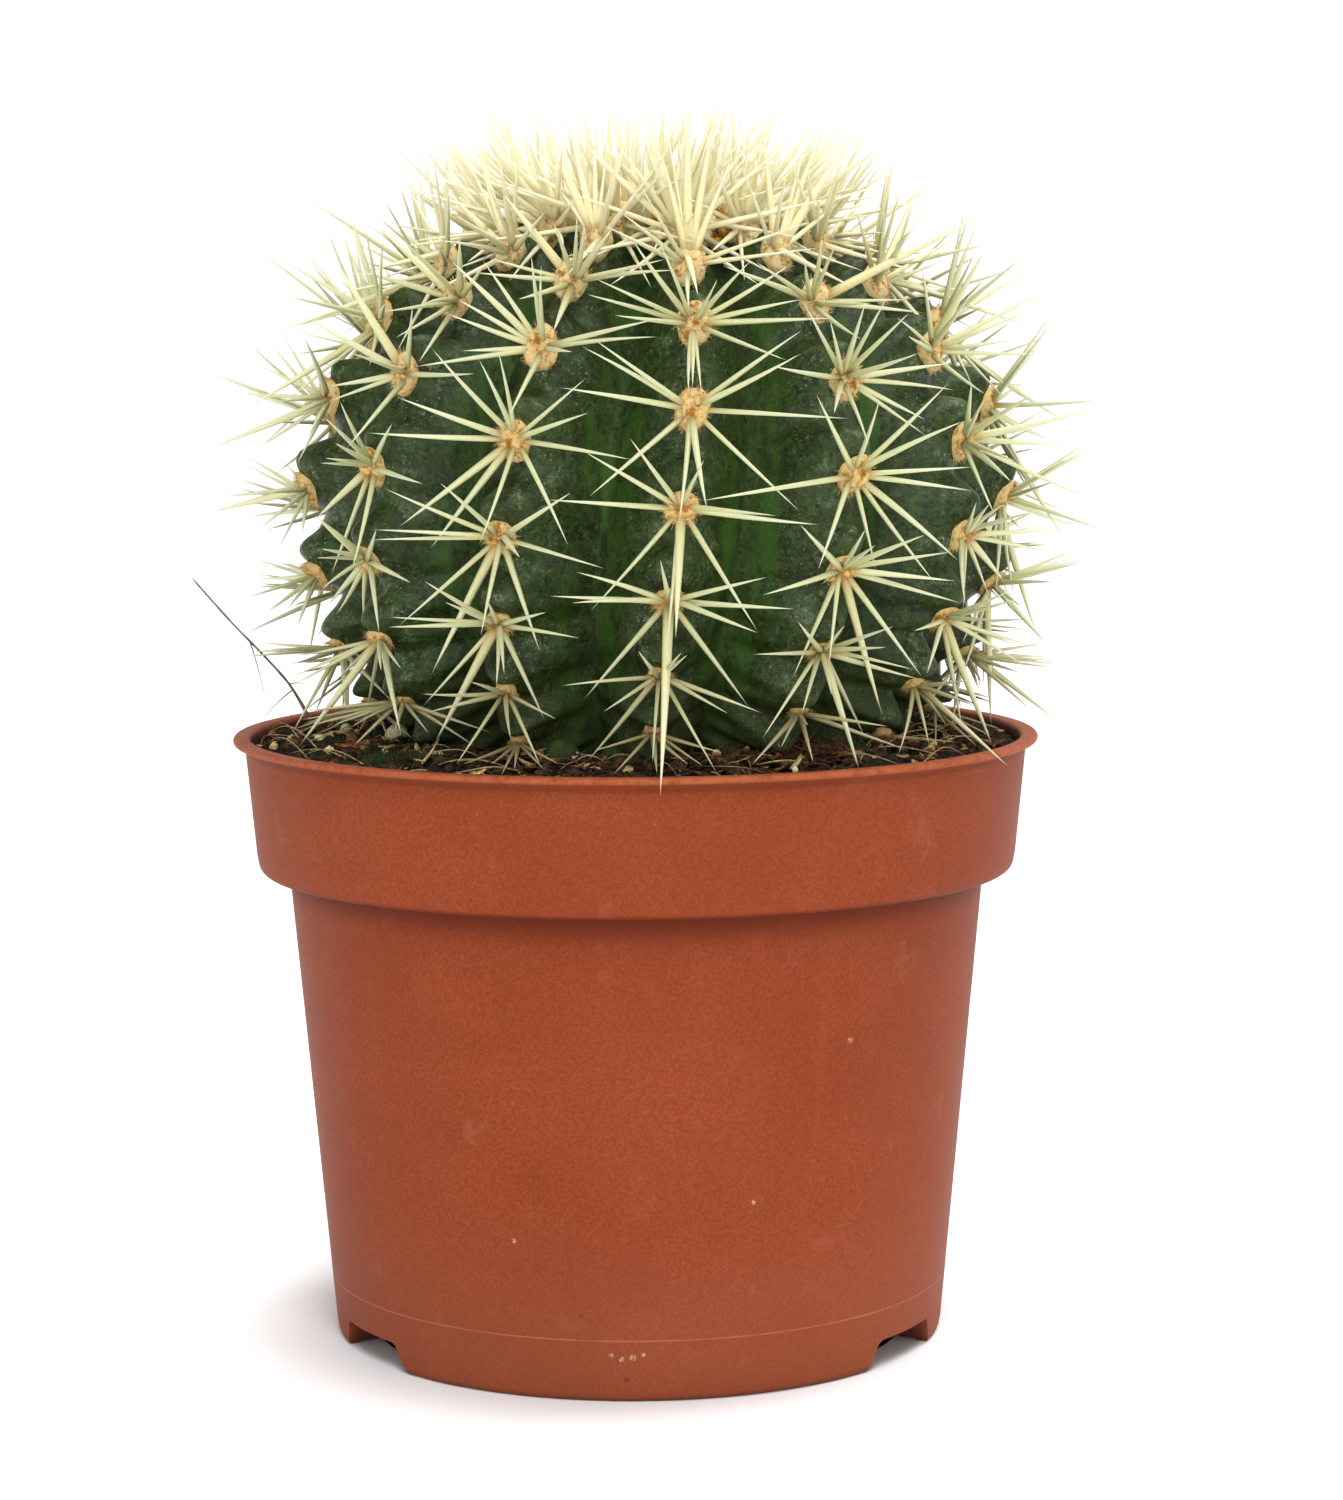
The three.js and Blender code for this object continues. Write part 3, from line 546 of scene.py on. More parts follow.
def soil_material(name, dark, light, moss_share):
    s = Shader(name, Specular_IOR_Level=0.25)
    crumbs = s.noise(1.6, 5, 0.75)
    colour = s.ramp(crumbs, (0.42, dark), (0.58, light), (0.72, tuple(c * 3.4 for c in light)))
    rust = s.step(s.noise(3.2, 4, 0.7), 0.58, 0.68)
    rusty = s.mix(s.step(crumbs, 0.4, 0.6), (0.02, 0.008, 0.003), (0.13, 0.05, 0.018))
    colour = s.mix(s.both(rust, 0.7), colour, rusty)
    grit = s.step(s.noise(0.55, 2), 0.70, 0.76)
    colour = s.tint(colour, (0.30, 0.22, 0.12), grit, 0.6)
    moss = s.both(s.step(s.noise(9, 3), 0.46, 0.6), s.attribute("moss"))
    green = s.ramp(s.noise(0.9, 3), (0.35, (0.006, 0.015, 0.004)), (0.7, (0.04, 0.07, 0.018)))
    colour = s.mix(s.both(moss, moss_share), colour, green)
    normal = s.bump(s.noise(0.5, 4, 0.8), 0.25, 0.9, s.bump(crumbs, 0.8, 0.9))
    return s.finish(colour, 0.95, normal)


def flesh_material():
    s = Shader("skin", Specular_IOR_Level=0.22)
    groove, young, swelling = s.attribute("groove"), s.attribute("young"), s.attribute("swelling")
    crest = s.step(groove, 0.6, 0.1)
    mottle = s.noise(1.7, 5, 0.78)
    clouds = s.step(s.noise(11, 4, 0.6), 0.36, 0.66)
    colour = s.mix(clouds, (0.0120, 0.0228, 0.0028), (0.0215, 0.0420, 0.0046))
    colour = s.mix(s.step(mottle, 0.46, 0.66), colour, (0.042, 0.065, 0.012))
    colour = s.mix(s.step(s.noise(0.8, 4, 0.75), 0.52, 0.40), colour, (0.0058, 0.0112, 0.0026))
    grit = s.step(s.noise(0.3, 3, 0.8), 0.54, 0.66)
    colour = s.tint(colour, (0.053, 0.087, 0.028), grit, 0.5)
    deep = s.both(s.step(groove, 0.3, 0.7), s.step(s.noise(4.5, 4, 0.65, stretch=(1, 1, 0.16)), 0.44, 0.62))
    colour = s.tint(colour, (0.036, 0.096, 0.0110), deep, 0.65)
    colour = s.tint(colour, (0.03, 0.065, 0.022), young, 0.3)
    # Painted highlight: paler satin patches on the crests and swellings.
    raised = s.math("MAXIMUM", crest, s.step(swelling, 0.3, 0.9))
    sheen_highlight = s.both(s.step(s.noise(5, 4, 0.7), 0.40, 0.66), raised)
    colour = s.tint(colour, (0.076, 0.120, 0.040), sheen_highlight, 0.34)
    powder = s.both(s.step(s.noise(3.2, 4, 0.7), 0.52, 0.66), s.step(s.noise(0.45, 3, 0.8), 0.42, 0.6))
    powder = s.both(powder, crest)
    colour = s.tint(colour, (0.20, 0.26, 0.15), powder, 0.55)
    dust = s.step(s.noise(0.38, 2), 0.635, 0.72)
    patch = s.both(s.step(s.noise(6, 3), 0.36, 0.6), s.step(groove, 0.95, 0.1))
    colour = s.mix(s.both(s.both(dust, patch), 0.8), colour, (0.34, 0.38, 0.26))
    scar = s.step(s.noise(3.1, 3), 0.765, 0.80)
    colour = s.tint(colour, (0.20, 0.09, 0.035), scar, 0.7)
    # Painted shade: the bottoms of the grooves a little darker; they are also rougher below.
    bottom = s.step(groove, 0.55, 0.9)
    colour = s.tint(colour, (0.007, 0.022, 0.004), bottom, 0.04)
    foot = s.step(s.height(), 106, 88)
    colour = s.tint(colour, (0.046, 0.052, 0.018), foot, 0.45)
    roughness = s.node("ShaderNodeMapRange", {"Value": mottle, "To Min": 0.28, "To Max": 0.50}).outputs[0]
    roughness = s.math("ADD", roughness, s.both(s.math("MAXIMUM", bottom, foot), 0.4))
    normal = s.bump(s.noise(0.5, 3), 0.10, 0.7, s.bump(mottle, 0.32, 0.55))
    return s.finish(colour, roughness, normal)


# The palest spines, by the crown and in it
YOUNG_SPINE = (0.985, 0.96, 0.68)
YOUNG_TIP = (0.95, 0.95, 0.82)


def spine_material(name, root, body, tip, glow=0.0):
    s = Shader(name, Specular_IOR_Level=0.45, Subsurface_Weight=glow)
    s.surface.inputs["Subsurface Radius"].default_value = (0.002, 0.0015, 0.0008)
    along = s.attribute("along")
    between = tuple(0.5 * (a + b) for a, b in zip(root, body))
    colour = s.ramp(along, (0.0, root), (0.07, between), (0.2, body), (1.0, tip))
    old = s.attribute("old")
    aged = s.ramp(along, (0.0, (0.18, 0.08, 0.02)), (0.35, (0.34, 0.25, 0.10)), (1.0, (0.50, 0.44, 0.24)))
    golden = s.ramp(along, (0.0, root), (0.2, (0.78, 0.62, 0.25)), (1.0, (0.86, 0.78, 0.45)))
    fresh = s.ramp(along, (0.0, root), (0.15, YOUNG_SPINE), (1.0, YOUNG_TIP))
    colour = s.mix(s.both(s.attribute("pale"), 0.9), colour, fresh)
    colour = s.mix(s.attribute("gold"), colour, golden)
    colour = s.mix(s.both(old, 0.85), colour, aged)
    streak = s.step(s.noise(1.3, 4, 0.7), 0.45, 0.75)
    colour = s.tint(colour, (0.60, 0.55, 0.28), streak, 0.25)
    normal = s.bump(s.noise(0.35, 2), 0.05, 0.4)
    return s.finish(colour, 0.42, normal)


def wool_material(name, pale, tan, dark):
    s = Shader(name, Specular_IOR_Level=0.1)
    tuft = s.noise(1.3, 4, 0.7)
    shift = s.both(s.attribute("heart"), -0.09)
    colour = s.ramp(s.math("ADD", tuft, shift), (0.33, dark), (0.40, tan), (0.49, pale))
    upper = s.both(s.step(s.height(), 132, 162), s.step(tuft, 0.38, 0.46))
    upper = s.both(upper, s.step(s.attribute("heart"), 1.6, 1.1))
    colour = s.tint(colour, (0.94, 0.77, 0.42), upper, 0.6)
    colour = s.mix(s.both(s.attribute("old"), 0.36), colour, (0.26, 0.14, 0.055))
    normal = s.bump(s.noise(0.22, 3, 0.8), 0.2, 1.0)
    return s.finish(colour, 0.9, normal)


def grain_material(name, pale, dirt, size):
    s = Shader(name, Specular_IOR_Level=0.3)
    pores = s.noise(size, 4, 0.7)
    colour = s.ramp(pores, (0.27, dirt), (0.42, tuple(0.85 * c for c in pale)), (0.6, pale))
    return s.finish(colour, 0.95, s.bump(pores, 0.4, 0.9))


def fibre_material(name, dark, light):
    s = Shader(name, Specular_IOR_Level=0.3)
    colour = s.ramp(s.noise(0.8, 4, 0.7, stretch=(1, 1, 0.3)), (0.35, dark), (0.68, light))
    return s.finish(colour, 0.8, s.bump(s.noise(0.3, 3), 0.1, 0.8))


# The pot


def pot_profile():
    """The pot's section, up the outside and down the inside, with its small rounded edges."""

    def fillet(centre, radius, start, end, count):
        turns = np.radians(np.linspace(start, end, count))
        return [(centre[0] + radius * math.cos(t), centre[1] + radius * math.sin(t)) for t in turns]

    ring_inside = FOOT_RADIUS - FOOT_RING_WIDTH
    slope = (BODY_TOP_RADIUS - FOOT_RADIUS) / COLLAR_Z
    wall_z = np.linspace(1.5, COLLAR_Z - 1.2, 30)
    ridge = 0.06 * np.exp(-(((wall_z - PARTING_LINE_Z) / 0.5) ** 2))
    outside = [(0, RECESS), (ring_inside - 8, RECESS), (ring_inside - 0.4, RECESS)]
    outside += [(ring_inside, RECESS - 0.4), (ring_inside, 0.3), (ring_inside + 0.3, 0)]
    outside += fillet((FOOT_RADIUS - 0.9, 0.9), 0.9, -90, 0, 7)
    outside += [(FOOT_RADIUS + slope * z + bulge, z) for z, bulge in zip(wall_z, ridge)]
    outside += fillet((BODY_TOP_RADIUS + 0.75, COLLAR_Z - 0.8), 0.8, 180, 90, 4)
    outside += fillet((COLLAR_BOTTOM_RADIUS - 1.3, COLLAR_Z + 1.3), 1.3, -90, -5, 7)
    collar_z = np.linspace(COLLAR_Z + 2.5, POT_HEIGHT - 2.4, 9)
    lean = (COLLAR_TOP_RADIUS - COLLAR_BOTTOM_RADIUS) / (POT_HEIGHT - COLLAR_Z)
    outside += [(COLLAR_BOTTOM_RADIUS + lean * (z - COLLAR_Z), z) for z in collar_z]
    outside += fillet((COLLAR_TOP_RADIUS + 0.6, POT_HEIGHT - 1.7), 0.75, 180, 90, 5)
    outside += fillet((RIM_RADIUS - 0.5, POT_HEIGHT - 0.5), 0.5, -90, 90, 9)
    outside += fillet((RIM_INSIDE + 0.6, POT_HEIGHT - 0.6), 0.6, 90, 180, 5)
    inside = [
        (COLLAR_BOTTOM_RADIUS - WALL, COLLAR_Z + WALL + 0.5),
        (COLLAR_BOTTOM_RADIUS - WALL - 0.6, COLLAR_Z + WALL),
        (BODY_TOP_RADIUS - WALL, COLLAR_Z + WALL),
        (FOOT_RADIUS - WALL + 0.2, RECESS + FLOOR),
        (0, RECESS + FLOOR),
    ]
    return outside + inside


def channel_bar(azimuth, grow, inner, outer, bottom, material):
    """A bar with the notch's section, rounded at its upper corners, that runs in along a channel."""
    half, top = NOTCH_TOP_WIDTH / 2 + grow, NOTCH_HEIGHT + grow
    foot = half + NOTCH_SLANT
    turns = np.radians(np.linspace(0, 90, 6))
    corner = [(half - 0.9 + 1.5 * math.cos(t), top - 1.5 + 1.5 * math.sin(t)) for t in turns]
    right = [(foot, bottom), (half + 1.5, top - 3.0), *corner]
    section = np.array(right + [(-x, z) for x, z in reversed(right)])
    out, side = outward(azimuth), outward(azimuth + 90)
    ends = [d * out + section[:, :1] * side + section[:, 1:] * [0, 0, 1] for d in (inner, outer)]
    points = np.concatenate(ends)
    n = len(section)
    faces = [list(range(n - 1, -1, -1)), list(range(n, 2 * n))]
    faces += [[i, (i + 1) % n, n + (i + 1) % n, n + i] for i in range(n)]
    return cutter(points, faces, material)


def cutter(points, faces, material):
    """A solid to cut with or to join on."""
    solid = add_object("cutter", points, faces, material, smooth=False)
    face_outwards(solid)
    return solid


def drill(path, radius, sides, material):
    """A round solid to cut with, between the two ends of a path."""
    points, faces, _ = tube(path, [radius] * 2, sides)
    return cutter(points, faces, material)


def face_outwards(piece):
    shape = bmesh.new()
    shape.from_mesh(piece.data)
    bmesh.ops.recalc_face_normals(shape, faces=shape.faces)
    shape.to_mesh(piece.data)
    shape.free()


def apply_modifiers(piece):
    """Replaces the piece's mesh by what its modifiers make of it."""
    evaluated = piece.evaluated_get(bpy.context.evaluated_depsgraph_get())
    mesh = bpy.data.meshes.new_from_object(evaluated)
    piece.modifiers.clear()
    old = piece.data
    piece.data = mesh
    bpy.data.meshes.remove(old)


def combine(piece, other, operation):
    """Cuts another solid from the piece or joins it on, and removes the other."""
    modifier = piece.modifiers.new("combine", "BOOLEAN")
    modifier.operation = operation
    modifier.solver = "EXACT"
    modifier.object = other
    apply_modifiers(piece)
    bpy.data.objects.remove(other)


def make_pot():
    material = pot_plastic()
    profile = pot_profile()
    azimuths = 360 * np.arange(POT_SEGMENTS) / POT_SEGMENTS
    body = profile[1:-1]
    rings = np.array([r * outward(azimuths) + [0, 0, z] for r, z in body])
    points, faces = ring_skin(rings)
    pot = add_object("pot_shell", points, faces, material)
    face_outwards(pot)
    for azimuth in NOTCH_AZIMUTHS:
        cover = channel_bar(azimuth, FLOOR, CHANNEL_INNER_RADIUS - FLOOR, FOOT_RADIUS, 0.3, material)
        inside_foot = drill([[0, 0, -2], [0, 0, 20]], FOOT_RADIUS - 0.6, POT_SEGMENTS, material)
        combine(cover, inside_foot, "INTERSECT")
        combine(pot, cover, "UNION")
        combine(pot, channel_bar(azimuth, 0, CHANNEL_INNER_RADIUS, RIM_RADIUS, -1, material), "DIFFERENCE")
        hole_at = DRAIN_HOLE_AT * outward(azimuth)
        hole = drill(hole_at + [[0, 0, -5.0], [0, 0, 12.0]], DRAIN_HOLE_RADIUS, 40, material)
        combine(pot, hole, "DIFFERENCE")
    pot.data.polygons.foreach_set("use_smooth", np.full(len(pot.data.polygons), True))
    pot.data.set_sharp_from_angle(angle=math.radians(28))
    return belongs(pot, "pot_plastic", "pot")


# The plant's shape


def crest_table():
    """Radius, height and arc length along a rib's crest from the apex down."""
    angle = np.linspace(0, np.pi, 2001)
    r = CREST_RADIUS * np.sin(angle)
    z = EQUATOR_Z + np.where(angle < np.pi / 2, DOME_HEIGHT, BELLY_DEPTH) * np.cos(angle)
    arc = np.concatenate([[0], np.cumsum(np.hypot(np.diff(r), np.diff(z)))])
    return r, z, arc


CREST_R, CREST_Z, CREST_ARC = crest_table()


def crest_at(arc):
    """Radius, height and outward direction of a rib's crest at an arc length from the apex."""
    r, z = np.interp(arc, CREST_ARC, CREST_R), np.interp(arc, CREST_ARC, CREST_Z)
    ahead = 0.05
    dr = np.interp(arc + ahead, CREST_ARC, CREST_R) - np.interp(arc - ahead, CREST_ARC, CREST_R)
    dz = np.interp(arc + ahead, CREST_ARC, CREST_Z) - np.interp(arc - ahead, CREST_ARC, CREST_Z)
    length = np.hypot(dr, dz)
    return r, z, -dz / length, dr / length


def areole_arc(index):
    """Arc length from the apex to a place on a rib, counted in areoles upwards from near the equator."""
    crowding = np.where(np.asarray(index) > SHOULDER_INDEX, UPPER_CROWDING, LOWER_CROWDING)
    return SHOULDER_ARC - crowding * AREOLE_SPACING * np.tanh((index - SHOULDER_INDEX) / crowding)


def rib_phase(rib):
    """How far a rib's areoles are shifted up the rib, as a share of their spacing."""
    phase = (np.asarray(rib) % RIBS) * RIB_PHASE
    return phase - np.floor(phase)


def rib_place(rib, across, crest, depth):
    """The point so far under the crest line, where across is 0 on a crest and 0.5 in a groove."""
    r, z, normal_r, normal_z = crest
    turn = FRONT_RIB_AZIMUTH + (rib + across) * 360 / RIBS + TWIST_PER_MM * (z - EQUATOR_Z)
    point = outward(turn) * (r - depth * normal_r)[..., None]
    point[..., 0] += PLANT_X
    point[..., 2] = z - depth * normal_z
    return point


def flesh_point(rib, across, index):
    """A point of the ribs' outline that the areoles stand on."""
    climb = index - rib_phase(rib) - WAVE_LEAD
    depth = -CREST_WAVE * np.cos(2 * np.pi * climb) * (1 - np.abs(2 * across))
    return rib_place(rib, across, crest_at(areole_arc(index)), depth)


def skin_point(rib, across, index):
    """A point of the skin, and from 0 to 1 how deep in a groove and how far out on a swelling it is."""
    crest = crest_at(areole_arc(index))
    flank = np.abs(2 * across)
    crest_round, bottom_round = 0.18, 0.10
    share = (np.hypot(flank, crest_round) - crest_round) / (math.hypot(1, crest_round) - crest_round)
    share = share - (np.hypot(1 - flank, bottom_round) - (1 - flank)) * 0.6
    own = 0.35 * np.sin(rib * 2.4) + 0.06 * np.sin(rib * 5.1 + index * 2)
    climb = index - rib_phase(rib) - WAVE_LEAD
    wave = np.cos(2 * np.pi * climb) + 0.28 * np.sin(4 * np.pi * climb + own)
    swelling = np.clip(0.5 + 0.5 * wave, 0, 1) * (1 - flank) ** 0.8
    fold = np.cos(2 * np.pi * (2 * climb + 0.6 * flank + own)) * flank * (1 - flank) * 4
    knuckle = FINE_WAVE * (0.45 + 0.55 * smoothstep(-5.2, -3.0, index))
    depth = SKIN_SINK + GROOVE_SHARE * crest[0] * share - knuckle * wave * (1 - flank) ** 1.1 - 0.42 * fold
    return rib_place(rib, across, crest, depth), share, swelling


def make_flesh(material):
    index = np.linspace(-6.2, 5.2, FLESH_ROWS)
    column = np.arange(RIBS * FLESH_COLUMNS)
    across = (column % FLESH_COLUMNS) / FLESH_COLUMNS
    rib = column // FLESH_COLUMNS + (across > 0.5)
    across = across - (across > 0.5)
    index, across = np.meshgrid(index, across, indexing="ij")
    rib = np.broadcast_to(rib, index.shape)
    rings, groove, swelling = skin_point(rib, across, index)
    normal = unit(np.cross(np.roll(rings, -1, 1) - np.roll(rings, 1, 1), np.gradient(rings, axis=0)))
    lumps = 0.36 * rough(rings, 13, 2, 5) + 0.13 * rough(rings, 3.2, 2, 9)
    rings = rings + normal * lumps[..., None]
    top = rings[-1].mean(0) + [0, 0, -3]
    dish = np.array([top + (rings[-1] - top) * share for share in (0.7, 0.35)])
    rings = np.concatenate([rings, dish])
    points, faces = ring_skin(rings)
    young = smoothstep(2.6, 5.0, index)
    # The dish under the crown and the two poles have the end value
    spare = dish.shape[0] * dish.shape[1] + 2
    layers = (("groove", groove, 0), ("swelling", swelling, 0), ("young", young, 1))
    values = {key: np.concatenate([layer.ravel(), np.full(spare, end)]) for key, layer, end in layers}
    flesh = add_object("cactus_flesh", points, faces, material, True, values)
    belongs(flesh, "flesh", "cactus")
    return BVHTree.FromPolygons(points.tolist(), [list(map(int, face)) for face in faces])


def find_areoles():
    """Every areole outside the crown: place, directions up the rib, sideways and out, index and size."""
    found = []
    for rib in range(RIBS):
        for number in range(-5, 8):
            index = number + float(rib_phase(rib))
            if index > TOP_AREOLE_INDEX:
                continue
            steps = (0, 0.04, -0.04)
            here, above, below = (flesh_point(rib, np.array(0.0), np.array(index + d)) for d in steps)
            radius = math.hypot(here[0] - PLANT_X, here[1])
            if radius < CROWN_RADIUS - 1.5 or here[2] < LOWEST_AREOLE_Z:
                continue
            up = unit(above - below)
            side = unit(np.array([-here[1], here[0] - PLANT_X, 0]))
            size = 0.9 + 1.6 * float(smoothstep(-4.6, 0.6, index)) + 0.3 * float(smoothstep(3.4, 5, index))
            here = here - 0.6 * np.cross(side, up)
            found.append(
                {
                    "at": here,
                    "up": up,
                    "side": side,
                    "out": np.cross(side, up),
                    "index": index,
                    "size": size,
                },
            )
    return found


# Ground that spines stay above


def soil_height(x, y):
    x, y = np.asarray(x, float), np.asarray(y, float)
    mound = SOIL_MOUND * (1 - smoothstep(42, 56, np.hypot(x, y)))
    lumps = 0.35 * np.sin(x * 0.31 + 1.3) * np.cos(y * 0.27) + 0.25 * np.sin((x + y) * 0.55)
    return SOIL_EDGE_Z + mound + lumps


def ground(point):
    """The height of what lies under a point: soil, rim or the surface below."""
    r = math.hypot(point[0], point[1])
    if r > RIM_RADIUS + 0.7:
        return 0
    if r > RIM_INSIDE - 0.8:
        return POT_HEIGHT
    return float(soil_height(point[0], point[1]))


# Spines and areoles


def camera_axes():
    """The directions to the right, up and ahead of the camera."""
    pitch, roll = math.radians(CAMERA_PITCH), math.radians(CAMERA_ROLL)
    ahead = np.array([0, math.cos(pitch), -math.sin(pitch)])
    level, up = np.array([1.0, 0, 0]), np.array([0, math.sin(pitch), math.cos(pitch)])
    return math.cos(roll) * level + math.sin(roll) * up, math.cos(roll) * up - math.sin(roll) * level, ahead


def in_picture(point):
    """Where a point lies in the picture, in pixels, and how far ahead of the camera in mm."""
    right, up, ahead = camera_axes()
    offset = np.asarray(point) - CAMERA_AT
    depth = offset @ ahead
    x, y = offset @ right / depth, offset @ up / depth
    return np.array([PICTURE_MIDDLE[0] + FOCAL_PIXELS * x, PICTURE_MIDDLE[1] - FOCAL_PIXELS * y]), depth


def from_picture(pixel, depth):
    """The point at a picture pixel, so many mm ahead of the camera."""
    right, up, ahead = camera_axes()
    x, y = (np.asarray(pixel, float) - PICTURE_MIDDLE) / FOCAL_PIXELS
    return np.array(CAMERA_AT) + depth * (ahead + x * right - y * up)


